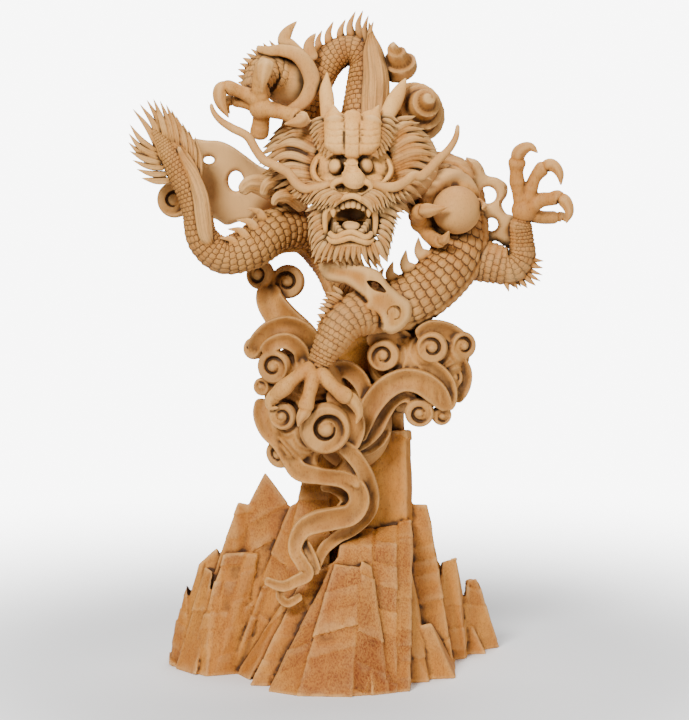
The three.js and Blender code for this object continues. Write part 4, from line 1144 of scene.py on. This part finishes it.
HAIR = {
    "left_brow": {"roots": [[324, 118, -70], [325.5, 130, -80], [329, 142, -87], [335, 151, -91]],
                  "tips": [[307, 127, -66], [310.5, 138, -74], [316, 150, -82], [326, 159, -89]],
                  "count": 10, "width": 7, "bow": 0.1, "ripple": 0.5, "thick": 0.4},
    "left_brow_front": {"roots": [[327, 124, -78], [329, 136, -86], [334, 149, -92]],
                        "tips": [[314, 130, -72], [317, 144, -82], [326, 156, -90]],
                        "count": 8, "width": 5, "bow": 0.1, "ripple": 0.5, "thick": 0.4},
    "right_brow": {"roots": [[381, 116, -70], [379.5, 130, -80], [376, 142, -87], [369, 151, -91]],
                   "tips": [[399, 122, -66], [394, 139, -74], [389, 151, -82], [379, 159, -89]],
                   "count": 10, "width": 7, "bow": -0.1, "ripple": 0.5, "thick": 0.4},
    "right_brow_front": {"roots": [[378, 124, -78], [376, 136, -86], [370, 149, -92]],
                         "tips": [[391, 132, -72], [388, 145, -82], [379, 156, -90]],
                         "count": 8, "width": 5, "bow": -0.1, "ripple": 0.5, "thick": 0.4},
    "left_moustache": {"roots": [[322, 184, -90], [332, 187, -98], [340, 192, -103], [346, 196, -106]],
                       "tips": [[290, 193, -86], [303, 205, -94], [317, 210.5, -100], [333, 207.5, -105]],
                       "count": 13, "width": 7.6, "bow": 0.12, "ripple": 0.6, "thick": 0.45},
    "left_moustache_front": {"roots": [[328, 186, -97], [336, 190, -103], [344, 195, -106]],
                             "tips": [[300, 201, -94], [312, 207, -100], [328, 206, -105]],
                             "count": 9, "width": 6, "bow": 0.12, "ripple": 0.6, "thick": 0.45},
    "right_moustache": {"roots": [[382, 184, -90], [374, 187, -98], [365, 193, -103], [359, 197, -106]],
                        "tips": [[410, 196, -86], [394, 206, -94], [383, 214, -100], [373, 213, -105]],
                        "count": 12, "width": 7.6, "bow": -0.12, "ripple": 0.6, "thick": 0.45},
    "right_moustache_front": {"roots": [[376, 186, -97], [369, 190, -103], [361, 196, -106]],
                              "tips": [[396, 200, -94], [387, 209, -100], [376, 212, -105]],
                              "count": 8, "width": 6, "bow": -0.12, "ripple": 0.6, "thick": 0.45},
    "left_beard": {"roots": [[326, 204, -90], [324, 222, -91], [327, 240, -94]],
                   "tips": [[305, 212, -86], [310, 234, -88], [311, 258, -91]],
                   "count": 8, "width": 7.2, "bow": 0.06, "ripple": 0.6},
    "low_beard": {"roots": [[327, 240, -97], [352, 244, -100], [376, 240, -97]],
                  "tips": [[314, 264, -92], [350, 262, -96], [388, 263, -92]],
                  "count": 12, "width": 7.0, "bow": 0.04, "ripple": 0.6},
    "right_beard": {"roots": [[377, 202, -90], [379, 222, -91], [375, 240, -94]],
                    "tips": [[406, 214, -84], [394, 234, -88], [390, 256, -91]],
                    "count": 8, "width": 7.2, "bow": -0.06, "ripple": 0.6},
    "under_beard": {"roots": [[336, 238, -88], [356, 242, -90], [374, 238, -88]],
                    "tips": [[340, 268, -84], [364, 271, -86], [384, 271, -84]],
                    "count": 8, "width": 7.2, "ripple": 0.6},
    "side_beard": {"roots": [[322, 206, -84], [320, 224, -85], [322, 240, -87]],
                   "tips": [[307, 222, -80], [309, 244, -82], [316, 262, -86]],
                   "count": 7, "width": 6.4, "bow": 0.06, "ripple": 0.6},
    "far_side_beard": {"roots": [[382, 206, -84], [383, 224, -85], [380, 240, -87]],
                       "tips": [[398, 222, -80], [393, 244, -82], [388, 262, -86]],
                       "count": 7, "width": 6.4, "bow": -0.06, "ripple": 0.6},
    "left_mane": {"roots": [[322, 136, -62], [316, 164, -64], [320, 196, -66]],
                  "tips": [[286, 128, -48], [262, 168, -50], [282, 204, -52]], "count": 11, "width": 11,
                  "bow": 0.15},
    "left_mane_back": {"roots": [[316, 126, -44], [306, 150, -44], [310, 186, -44]],
                       "tips": [[272, 134, -26], [258, 160, -30], [268, 196, -34]],
                       "count": 8, "width": 14, "bow": 0.1},
    "right_mane": {"roots": [[384, 136, -64], [390, 164, -68], [384, 200, -72]],
                   "tips": [[416, 116, -48], [440, 160, -54], [412, 216, -62]], "count": 14, "width": 11,
                   "bow": -0.15},
    "right_mane_tips": {"roots": [[384, 190, -76], [384, 202, -76], [380, 214, -76]],
                        "tips": [[410, 196, -72], [404, 208, -74], [394, 219, -76]],
                        "count": 6, "width": 7, "bow": -0.1},
}
WHISKERS = [
    [[343, 181, -97, 3], [334, 184, -97, 4.6], [320, 188, -95, 5.2], [307, 189.5, -92, 5],
     [297, 184, -89, 4.6], [288, 173, -84, 4.6], [276, 166, -80, 4.6], [264, 160, -78, 4.6],
     [256, 150, -76, 4.4], [247, 136, -74, 4.3], [232, 128, -72, 4.1], [220, 120, -70, 3.3],
     [213, 111, -69, 2.5], [211, 103, -68, 1.6]],
    [[362, 183, -97, 3], [371, 185, -97, 4.6], [384, 188, -95, 5.2], [395, 187, -92, 5],
     [405, 182, -88, 4.6], [413, 176, -84, 4.6], [421, 176, -82, 4.6], [429, 170, -80, 4.6],
     [438, 160, -78, 4.3], [449, 149, -76, 3.7], [456, 137, -74, 3], [458, 124, -74, 1.8]],
]
CREST = [[373, 128, -42, 12], [375, 104, -22, 14], [376, 76, -10, 13], [373, 52, -4, 10], [371, 36, 0, 4],
         [369, 22, 2, TIP]]
TUFTS = [
    [[300, 206, -8, 12], [276, 190, -26, 13], [252, 184, -36, 9], [240, 193, -38, 5]],
    [[302, 198, -20, 10], [284, 182, -42, 9], [268, 184, -50, 6], [262, 196, -50, 3]],
    [[306, 206, -34, 10], [290, 196, -52, 8], [277, 198, -58, 5], [273, 206, -58, 2]],
]


def hair():
    made = [
        ball([304, 168, -30], [26, 27, 28], STRAND_WOOD, 32),
        ball([405, 164, -32], [33, 38, 28], STRAND_WOOD, 40),
        limb(CREST, STRAND_WOOD, 1, 36, 2.0, flutes(4, 0.1), (14, 10)),
    ]
    for number, row in enumerate(HAIR.values()):
        made += locks(wood=STRAND_WOOD, seed=number + 20, **row)
    made += [limb(route, PALE_WOOD, 1, 20, 2.0) for route in WHISKERS]
    made += [limb(route, STRAND_WOOD, 0.8, 28, 2.0, flutes(2, 0.2), (10, 10)) for route in TUFTS]
    return made


# Clouds

VOLUTES = [
    [[272.5, 367, -78], 17, -20, 0, 1.6, 1, 0.3],
    [[251.5, 348, -50], 11, -35, 10, 3, 1, 0.3],
    [[260.5, 387, -68], 9, -30, 0, 3.6, 1, 0.3],
    [[281.5, 416.5, -92], 13.5, -20, 0, 2, 1, 0.6],
    [[326, 430, -98], 25, 8, -5, 1.4, 1, 0.35],
    [[277, 455, -66], 14.5, -35, -10, 1.8, 1, 0.3],
    [[287, 282, -8], 17, -10, 0, 1.2, -1, 0.8],
    [[258, 274, -4], 15, -30, 10, 1.2, 1, 0.8],
    [[383, 356, -66], 16, -5, 0, 1.8, -1, 0.9],
    [[432, 348, -66], 15.5, 0, 0, 1.8, -1, 0.7],
    [[464.5, 346, -48], 14, 25, 0, 1.8, -1, 0.7],
    [[455, 378, -50], 10, 30, 0, 2.4, -1, 0.7],
    [[419.5, 413.5, -64], 14.5, 0, -5, 2.2, -1, 0.2],
    [[443, 416, -56], 10, 20, -5, 2, -1, 0.2],
    [[173, 200, -8], 18, -15, 0, 1, 1, 0.5],
]
VOLUTES_BEHIND = [
    [[296, 372, 4], 16, -150, 0, 2.0, 1, 0.3], [[424, 356, 18], 17, 165, 0, 1.8, -1, 0.3],
    [[452, 372, -2], 11, 110, 0, 2.2, 1, 0.3], [[268, 404, -36], 11, -110, 0, 2.2, -1, 0.3],
    [[300, 428, -14], 13, -160, 0, 2.2, 1, 0.3], [[398, 402, 16], 13, 180, 0, 2.6, 1, 0.3],
    [[386, 336, 66], 15, 170, 20, 1.6, -1, 0.3], [[340, 338, 62], 12, -165, 15, 1.8, 1, 0.3],
]
CLOUD_BANDS = [
    [[270, 284, -4, 11], [270, 300, -12, 14], [282, 318, -26, 16], [300, 338, -40, 18], [310, 350, -46, 16]],
    [[316, 352, -58, 10], [306, 335, -64, 11], [290, 326, -66, 10], [273, 329, -66, 10], [260, 339, -60, 9],
     [253, 350, -50, 7.5]],
    [[304, 366, -70, 9], [300, 350, -74, 8], [287, 341, -76, 8], [272, 344, -76, 7], [262, 353, -74, 5]],
    [[330, 372, -62, 9], [345, 369, -62, 9], [358, 378, -62, 9], [366, 394, -62, 8], [367, 412, -62, 8],
     [360, 430, -66, 8]],
    [[326, 394, -84, 7], [342, 400, -86, 8], [354, 413, -86, 8], [357, 430, -84, 8], [350, 448, -80, 8]],
    [[264, 398, -62, 8], [262, 414, -68, 9], [268, 430, -72, 9], [280, 442, -74, 9], [289, 456, -72, 9],
     [300, 471, -70, 10], [322, 476, -68, 8.5], [343, 479, -66, 9], [356, 488, -63, 10],
     [359, 502, -61, 10.5], [351, 514, -60, 11], [336, 518, -62, 11.5], [318, 521.5, -64, 11.5],
     [304, 528, -67, 10], [296.5, 540, -71, 8], [295.5, 552, -76, 6.8], [302, 563, -81, 6.8],
     [307, 574, -85, 7], [296, 581, -87, 6], [282, 586, -84, 5.5], [264, 580, -78, 4]],
    [[320, 487, -50, 4], [334, 488, -48, 6], [345, 494, -48, 8], [348, 504, -50, 8], [338, 513, -54, 7]],
    [[340, 444, -84, 7], [350, 452, -80, 8], [361, 466, -72, 8], [368, 482, -60, 8.5], [371, 500, -46, 8.5],
     [366, 515, -40, 8], [352, 528, -42, 8], [337, 537, -50, 7], [324, 549, -62, 6], [318, 562, -72, 5],
     [314, 575, -78, 4]],
    [[303, 539, -66, 4], [308, 549, -68, 5], [313, 560, -74, 5], [317, 573, -78, 5]],
    [[296, 581, -82, 5], [283, 588, -82, 4.4], [280, 596, -80, 4.2], [288, 603, -78, 4.4],
     [302, 595, -76, 4.4]],
    [[356, 442, -70, 8], [362, 424, -68, 10], [372, 404, -66, 11], [386, 388, -66, 11.5],
     [403, 380, -66, 11.5], [420, 382, -66, 12], [434, 391, -64, 12], [443, 402, -61, 9],
     [447, 411, -59, 4]],
    [[417, 400, -60, 5], [404, 396, -58, 6.5], [392, 401, -56, 7.5], [383, 414, -56, 8], [374, 429, -60, 9],
     [360, 441, -68, 9], [344, 447, -76, 8]],
    [[388, 428, -50, 5], [379, 441, -52, 6.5], [366, 449, -56, 6.5], [352, 452, -64, 6]],
    [[408, 342, -46, 9], [396, 335, -54, 9], [380, 336, -60, 9], [368, 345, -62, 8]],
    [[408, 336, -48, 10], [408, 354, -54, 10], [402, 372, -58, 10]],
    [[462, 340, -42, 9], [447, 331, -50, 9], [430, 329, -58, 9], [417, 338, -60, 8]],
    [[418, 364, -62, 8], [434, 370, -62, 9], [446, 384, -62, 9.5], [448, 400, -60, 9], [446, 411, -59, 5]],
    [[456, 358, -46, 8], [464, 372, -42, 8], [462, 388, -42, 8], [454, 402, -46, 6]],
]
CLOUD_MASSES = [
    [[306, 388, -44], [42, 46, 44]],
    [[298, 428, -56], [25, 34, 34]],
    [[414, 362, -24], [46, 40, 42]],
    [[440, 356, -24], [30, 28, 36]],
    [[446, 386, -34], [14, 22, 24]],
    [[352, 424, -20], [40, 46, 44]],
    [[366, 342, 38], [38, 22, 38]],
    [[300, 452, -52], [22, 24, 14]],
]
SHEET = [
    [276, 424], [284, 440], [292, 450], [297, 458], [298, 470], [304, 480], [316, 483], [332, 484],
    [346, 486],
    [358, 490], [364, 480], [360, 466], [352, 456], [345, 446], [330, 436], [300, 420],
]
SHEET_HOLES = [[329, 459.5, 10.8, 8.8]]
SHELLS = [
    [[403, 74, 6], [392, 44, -24], 18, 2.8],
    [[410, 116, 2], [429, 97, -50], 31, 4],
]
RIBBONS = [
    [193, 138], [206, 140], [220, 141], [232, 146], [245, 155], [262, 167], [290, 178], [300, 196],
    [300, 216],
    [262, 214], [250, 220], [238, 222], [226, 225], [212, 218], [180, 214], [170, 192], [184, 160],
]
RIBBON_HOLES = [[209, 160, 5.2, 3.6], [236, 181, 7.5, 10]]


EDDY_STEP = 6.5
EDDY_REACH = 24


def eddies(form):
    """Flutes that run round each curl side by side, with a sharp ridge where two sets meet."""
    points = coordinates(form)
    off = np.full(len(points), np.inf)
    for (across, down, depth), radius, *_ in VOLUTES + VOLUTES_BEHIND:
        gap = (np.linalg.norm(points - drawn([across, down, depth]), axis=1) / MM) - radius
        off = np.minimum(off, gap)
    scoop = np.sin(math.pi * np.mod(np.maximum(off, 0) / EDDY_STEP, 1))
    depth = 1.7 * step_up(off, 1.0, 3.0) * (1 - step_up(off, EDDY_REACH - 8, EDDY_REACH))
    lay(form, points - facing(form) * (scoop * depth * MM)[:, None])
    return form


def cloud_bank():
    """The whole bank of cloud, with its flutes."""
    masses = [ball(centre, radii, CLOUD_WOOD, 48) for centre, radii in CLOUD_MASSES]
    return eddies(fused(masses, 1.5, 6, CLOUD_WOOD))


def clouds():
    curls = [
        volute(centre, radius, yaw, pitch, thick, CLOUD_WOOD, hand=hand, start=start)
        for centre, radius, yaw, pitch, thick, hand, start in VOLUTES + VOLUTES_BEHIND
    ]
    bands = [limb(band, CLOUD_WOOD, 1, 44, 1.8, section=ribbon_cut()) for band in CLOUD_BANDS]
    sheet = slab(SHEET, SHEET_HOLES, -62, 13, CLOUD_WOOD)
    return [
        fused([cloud_bank(), sheet, *curls, *bands], 0.95, 2, CLOUD_WOOD),
        *[shell(*facts, CLOUD_WOOD) for facts in SHELLS],
        slab(RIBBONS, RIBBON_HOLES, 9, 13, CLOUD_WOOD),
    ]


# The post and the rocks are cut in flat splits that lean towards it.

POST = [
    [[[290, -16], [404, -16], [290, 70], [410, 70]], [[318, 322, -10], [402, 318, -10]], 70],
    [[[287, -26], [408, -22], [414, -6], [287, 66], [414, 66]], [[304, 440, -20], [406, 430, -22],
     [411, 430, -6]], 80],
]
ROCKS = [
    [[[226, -18], [262, -36], [300, -36], [300, 60], [226, 60]], [[265, 472, 6], [248, 506, 0],
     [291, 508, -4]], 14],
    [[[262, -30], [300, -44], [330, -44], [330, 40], [262, 40]], [[302, 480, -20], [330, 480, -20]], 30],
    [[[226, -18], [262, -38], [300, -44], [300, 50], [226, 50]], [[290, 506, -16], [300, 500, -18]], 20],
    [[[184, -8], [226, -18], [300, 0], [190, 70], [300, 70]], [[238, 502, -4], [262, 508, 0]], 30],
    [[[176, -4], [197, -32], [190, 20]], [[205, 566, -2], [213, 572, -10]], 20],
    [[[192, -24], [214, -36], [208, 0]], [[224, 566, -15]], 20],
    [[[214, -35], [238, -26], [226, 0]], [[247, 553, -14], [258, 554, -14]], 20],
    [[[230, -27], [250, -24], [246, 0]], [[262, 586, -23], [272, 582, -22]], 20],
    [[[236, -24], [250, -52], [262, 10]], [[280, 606, -50], [302, 590, -56]], 20],
    [[[171, 12], [206, -34], [250, -20], [176, 80], [250, 80]], [[199, 564, 8], [217, 548, 6]], 30],
    [[[170.5, 10], [188, -14], [171, 60], [210, 60]], [[176, 622, 14], [187, 584, 14]], 30],
    [[[187, -15], [207, -37], [248, -19], [262, 30]], [[210, 598, -22], [224, 554, -14], [258, 552, -12]],
     30],
    [[[207, -36], [224, -19], [206, 20]], [[213, 598, -24]], 20],
    [[[222, -19], [249, -20], [262, 10]], [[246, 606, -22], [262, 592, -20]], 20],
    [[[250, -74], [268, -76], [300, -40], [262, 0]], [[303, 576, -60], [333, 563, -60]], 30],
    [[[268, -97], [296, -114], [330, -30], [280, 0]], [[331, 566, -63], [343, 552, -56]], 30],
    [[[296, -116], [353, -120], [353, -20], [310, -20]], [[334, 563, -70], [361, 567, -70]], 30],
    [[[322, -118], [372, -112], [372, -10], [322, -10]], [[339, 545, -54], [372, 545, -54], [348, 530, -28],
     [374, 528, -28]], 30],
    [[[353, -117], [390, -106], [390, -20], [353, -20]], [[361, 560, -68], [372, 566, -68]], 30],
    [[[371, -114], [397, -102], [397, -10], [371, -10]], [[372, 545, -52], [397, 543, -50], [377, 528, -27],
     [397, 525, -26]], 30],
    [[[397, -101], [410, -97], [412, 0], [397, 0]], [[398, 541, -46], [413, 537, -40], [398, 523, -24],
     [411, 520, -22]], 30],
    [[[404, -64], [429, -60], [429, 40], [404, 40]], [[403, 628, -66], [412, 570, -40]], 30],
    [[[424, -50], [455.5, -44], [455, 30], [424, 30]], [[419, 626, -54], [431, 623, -50]], 40],
    [[[404, -20], [454, -6], [450, 84], [404, 84]], [[413, 504, -2], [427.5, 504, 0]], 30],
    [[[430, 20], [466, 40], [470, 96], [430, 96]], [[442, 561, 22], [457, 557, 24]], 30],
    [[[458, 60], [499, 90], [496, 106], [458, 106]], [[467, 580, 52], [477, 578, 54]], 20],
    [[[240, 30], [330, 30], [250, 112], [330, 116]], [[268, 540, 62], [310, 520, 66]], 16],
    [[[300, 40], [430, 40], [306, 120], [426, 120]], [[318, 504, 72], [398, 508, 72]], 18],
    [[[186, 40], [290, 40], [198, 98], [290, 112]], [[222, 578, 60], [256, 566, 64]], 16],
    [[[400, 50], [486, 60], [404, 114], [480, 110]], [[410, 538, 66], [432, 548, 66]], 18],
]


def split(foot, crest, thick=20):
    """A split of rock: its foot is a list of corners [across, depth] on the ground, and its crest a list
    of corners [across, down, depth], each with one behind it and a little lower."""
    ground = []
    for across, depth in foot:
        reach = math.hypot(depth - EYE_BACK, EYE_UP)
        ground.append([(AIM_ACROSS + (across - DRAWING_WIDTH / 2) * reach / EYE_DISTANCE) * MM, depth * MM,
                       0])
    top = drawn(crest)
    behind = top + np.array([0, thick, -0.25 * thick]) * MM
    form = bpy.data.objects.new("form", bpy.data.meshes.new("form"))
    bpy.context.scene.collection.objects.link(form)
    form.data.from_pydata(np.vstack([ground, top, behind]).tolist(), [], [])
    form.data.materials.append(ROCK_WOOD)
    pick(form)
    bpy.ops.object.mode_set(mode="EDIT")
    bpy.ops.mesh.select_all(action="SELECT")
    bpy.ops.mesh.convex_hull()
    bpy.ops.object.mode_set(mode="OBJECT")
    return form


BLOCKS = 14
ROCK_BEVEL = 1.0
ROCK_GRAIN = 1.35
CHISEL_DEPTH = 0.6

# The tone of a block runs from 0, dark, to 1, pale. Splits are counted with the post's two parts first.
FRONT_SPLITS = slice(17, 23)
FRONT_DARKER = 0.6
# The right splits are paler as painted light, where the key light from the upper left reaches less.
RIGHT_SPLITS = slice(23, 28)
RIGHT_PAINTED_LIGHT = 0.5
# The post's blocks are paler than any other as painted light, against the shadow of the clouds above it.
POST_PAINTED_LIGHT = 1.6


def chiselled(form, walls, depth):
    """Each split is cut in blocks across its grain, and each block stands out or leans its own way."""
    random = np.random.default_rng(3)
    points = coordinates(form)
    owner = np.zeros(len(points), int)
    closest = np.full(len(points), np.inf)
    for number, (middles, normals) in enumerate(walls):
        beyond = np.full(len(points), -np.inf)
        for middle, normal in zip(middles, normals):
            beyond = np.maximum(beyond, (points - middle) @ normal)
        nearer = np.abs(beyond) < closest
        closest[nearer] = np.abs(beyond)[nearer]
        owner[nearer] = number
    lean = random.uniform(-0.7, 0.7, (len(walls), 2))
    tall = random.uniform(13, 30, len(walls)) * MM
    start = random.uniform(0, 1, len(walls))
    slope = (points[:, :2] * lean[owner]).sum(-1)
    level = (points[:, 2] + slope) / tall[owner] + start[owner]
    block = np.floor(level).astype(int) % BLOCKS
    heights = random.uniform(-depth, depth, (len(walls), BLOCKS))
    tilts = random.uniform(-1.2, 1.2, (len(walls), BLOCKS))
    rise = heights[owner, block] + tilts[owner, block] * (np.mod(level, 1) - 0.5)
    lay(form, points + facing(form) * (rise * (points[:, 2] > 2 * MM) * MM)[:, None])
    tones = random.uniform(0, 1, (len(walls), BLOCKS))
    # Painted light: the post's blocks and the right splits are made paler.
    tones[:len(POST)] = POST_PAINTED_LIGHT
    tones[FRONT_SPLITS] -= FRONT_DARKER
    tones[RIGHT_SPLITS] += RIGHT_PAINTED_LIGHT
    layer = form.data.attributes.new("tone", "FLOAT", "POINT")
    layer.data.foreach_set("value", tones[owner, block].astype(np.float32))


def rocks():
    splits = [split(*facts) for facts in POST + ROCKS]
    walls = [([np.array(f.center) for f in s.data.polygons], [np.array(f.normal) for f in s.data.polygons])
             for s in splits]
    for form in splits:
        apply(form, "BEVEL", width=ROCK_BEVEL * MM, segments=1, limit_method="ANGLE")
    form = union(splits)
    apply(form, "REMESH", mode="VOXEL", voxel_size=ROCK_GRAIN * MM)
    chiselled(form, walls, CHISEL_DEPTH)
    form.data.materials.clear()
    form.data.materials.append(ROCK_WOOD)
    return form


# Pieces


SHADE_RAYS = 8
SHADE_REACH = 0.016
SHADE_FULL = 1.7
DEEPEST_DIP = 1.3
HIGHEST_EDGE = 1.6


def shaded(points, normals, tree, seed=7):
    """The share of each point's outlook that other carving closes off at close hand, for the painted shade.
    """
    random = np.random.default_rng(seed)
    shut = np.zeros(len(points))
    starts = points + normals * 0.4 * MM
    for _ in range(SHADE_RAYS):
        ways = unit(normals * 1.05 + unit(random.normal(size=points.shape)))
        for i, (start, way) in enumerate(zip(starts.tolist(), ways.tolist())):
            reach = tree.ray_cast(start, way, SHADE_REACH)[3]
            if reach is not None:
                shut[i] += 1 - reach / SHADE_REACH
    return shut / SHADE_RAYS


def age(form, tree):
    """The hollows and the edges of a finished piece, where painted shade makes its colour darker and painted
    highlights make it paler.
    """
    points = coordinates(form)
    ends = np.empty(2 * len(form.data.edges), np.int32)
    form.data.edges.foreach_get("vertices", ends)
    first, second = ends.reshape(-1, 2).T
    normals = facing(form)
    count = np.bincount(ends, minlength=len(points)).astype(float)

    def eased(values):
        total = np.stack([
            np.bincount(first, v[second], len(points)) + np.bincount(second, v[first], len(points))
            for v in values.T
        ], -1)
        return total / np.maximum(count, 1)[:, None]
    dip = np.zeros(len(points))
    moved = points
    for _ in range(3):
        moved = eased(moved)
        dip += ((moved - points) * normals).sum(-1) / MM
    dip = eased(eased(dip[:, None]))[:, 0]
    shut = shaded(points, normals, tree)[:, None]
    for _ in range(3):
        shut = (shut + eased(shut)) / 2
    # Painted shade: darker where the surface dips and where nearby carving closes it off.
    hollow = np.clip(dip / DEEPEST_DIP, 0, 0.8) + np.clip(shut[:, 0] * SHADE_FULL, 0, 0.9)
    # Painted highlight: paler where the surface bulges out at an edge.
    painted_highlight = -dip / HIGHEST_EDGE
    for name, share in (("hollow", np.clip(hollow, 0, 1)), ("painted_highlight", np.clip(painted_highlight, 0, 1))):
        layer = form.data.attributes.new(name, "FLOAT", "POINT")
        layer.data.foreach_set("value", share.astype(np.float32))


MOST_TRIANGLES = 195_000


def lightened(form):
    """A form in triangles, and no more of them than MOST_TRIANGLES."""
    apply(form, "TRIANGULATE")
    if len(form.data.polygons) > MOST_TRIANGLES:
        apply(form, "DECIMATE", ratio=MOST_TRIANGLES / len(form.data.polygons))
    return form


def tree_of(forms):
    corners, faces = [], []
    first = 0
    for form in forms:
        triangles = np.empty(3 * len(form.data.polygons), np.int32)
        form.data.polygons.foreach_get("vertices", triangles)
        faces += (triangles.reshape(-1, 3) + first).tolist()
        corners += coordinates(form).tolist()
        first = len(corners)
    return BVHTree.FromPolygons(corners, faces, all_triangles=True)


SHARP_ANGLE = math.radians(50)


def piece(name, form, tree):
    """A finished piece of the carving, which stands for the CAD solid."""
    age(form, tree)
    form.name = name
    form.data.name = name
    pick(form)
    bpy.ops.object.shade_smooth_by_angle(angle=SHARP_ANGLE)
    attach(form, "root")
    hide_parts("dragon_carving")
    return form


carving = {
    "dragon_body": lightened(union(body() + tail_fan())),
    "dragon_legs": lightened(union(legs() + pearl() + flames())),
    "dragon_head": lightened(union(head() + hair())),
    "clouds": lightened(union(clouds())),
    "rocks_and_post": lightened(rocks()),
}
whole = tree_of(carving.values())
for name, form in carving.items():
    piece(name, form, whole)


# The stage: a pale floor, soft light and the camera at the height of a standing eye.


FLOOR_ACROSS = 4
FLOOR_FADE = (0.28, 1.1)


def stage():
    """A floor of pale paper that fades into the white round it."""
    bpy.ops.mesh.primitive_plane_add(size=1, location=(0, 0, 0))
    floor = bpy.context.object
    floor.name = "floor"
    bpy.ops.object.mode_set(mode="EDIT")
    bpy.ops.mesh.select_all(action="SELECT")
    bpy.ops.transform.resize(value=(FLOOR_ACROSS, FLOOR_ACROSS, 1))
    bpy.ops.mesh.bevel(offset=FLOOR_ACROSS / 4, segments=8, affect="VERTICES")
    bpy.ops.object.mode_set(mode="OBJECT")
    nodes = Nodes("floor_paper")
    where = nodes.add("ShaderNodeTexCoord", output=3)
    reach = nodes.add("ShaderNodeVectorMath", {"operation": "LENGTH"}, [where], output=1)
    fade = 1 - reach.step_up(*FLOOR_FADE)
    paper = nodes.finish({"Alpha": fade}, {"Base Color": (0.9, 0.9, 0.9, 1), "Roughness": 0.9})
    floor.data.materials.append(paper)


def softbox(name, place, size, power):
    bpy.ops.object.light_add(type="AREA", location=place)
    light = bpy.context.object
    light.name = name
    light.rotation_euler = (Vector(LIGHT_AIM) - Vector(place)).to_track_quat("-Z", "Y").to_euler()
    light.data.shape = "DISK"
    light.data.size = size
    light.data.energy = power


ROOM_LIGHT = 0.3
ROOM_WHITE = 8.0


# Each light has its place, its size in metres and its power in watts.
LIGHTS = [
    ["key_light", (-0.9, -2.2, 1.9), 0.8, 118],
    ["fill_light", (2.2, -2.0, 0.7), 1.6, 34],
    ["top_light", (0.3, 0.7, 2.6), 1.2, 42],
]
LIGHT_AIM = (0, 0, 0.33)


def lighting():
    """A strong soft light from the upper left, weaker ones round it, and a white room that lights little."""
    for name, place, size, power in LIGHTS:
        softbox(name, place, size, power)
    world = bpy.data.worlds.new("studio")
    world.use_nodes = True
    tree = world.node_tree
    path = tree.nodes.new("ShaderNodeLightPath")
    strength = tree.nodes.new("ShaderNodeMapRange")
    strength.inputs["To Min"].default_value = ROOM_LIGHT
    strength.inputs["To Max"].default_value = ROOM_WHITE
    tree.links.new(path.outputs["Is Camera Ray"], strength.inputs["Value"])
    tree.links.new(strength.outputs[0], tree.nodes["Background"].inputs["Strength"])
    tree.nodes["Background"].inputs["Color"].default_value = (1, 1, 1, 1)
    bpy.context.scene.world = world


LENS = 130
SENSOR = 36


def camera():
    aim = Vector((AIM_ACROSS, 0, AIM_UP)) * MM
    bpy.ops.object.camera_add(location=Vector((AIM_ACROSS, EYE_BACK, EYE_UP)) * MM)
    eye = bpy.context.object
    eye.rotation_euler = (aim - eye.location).to_track_quat("-Z", "Y").to_euler()
    eye.data.lens = LENS
    eye.data.sensor_width = SENSOR
    bpy.context.scene.camera = eye


stage()
lighting()
camera()
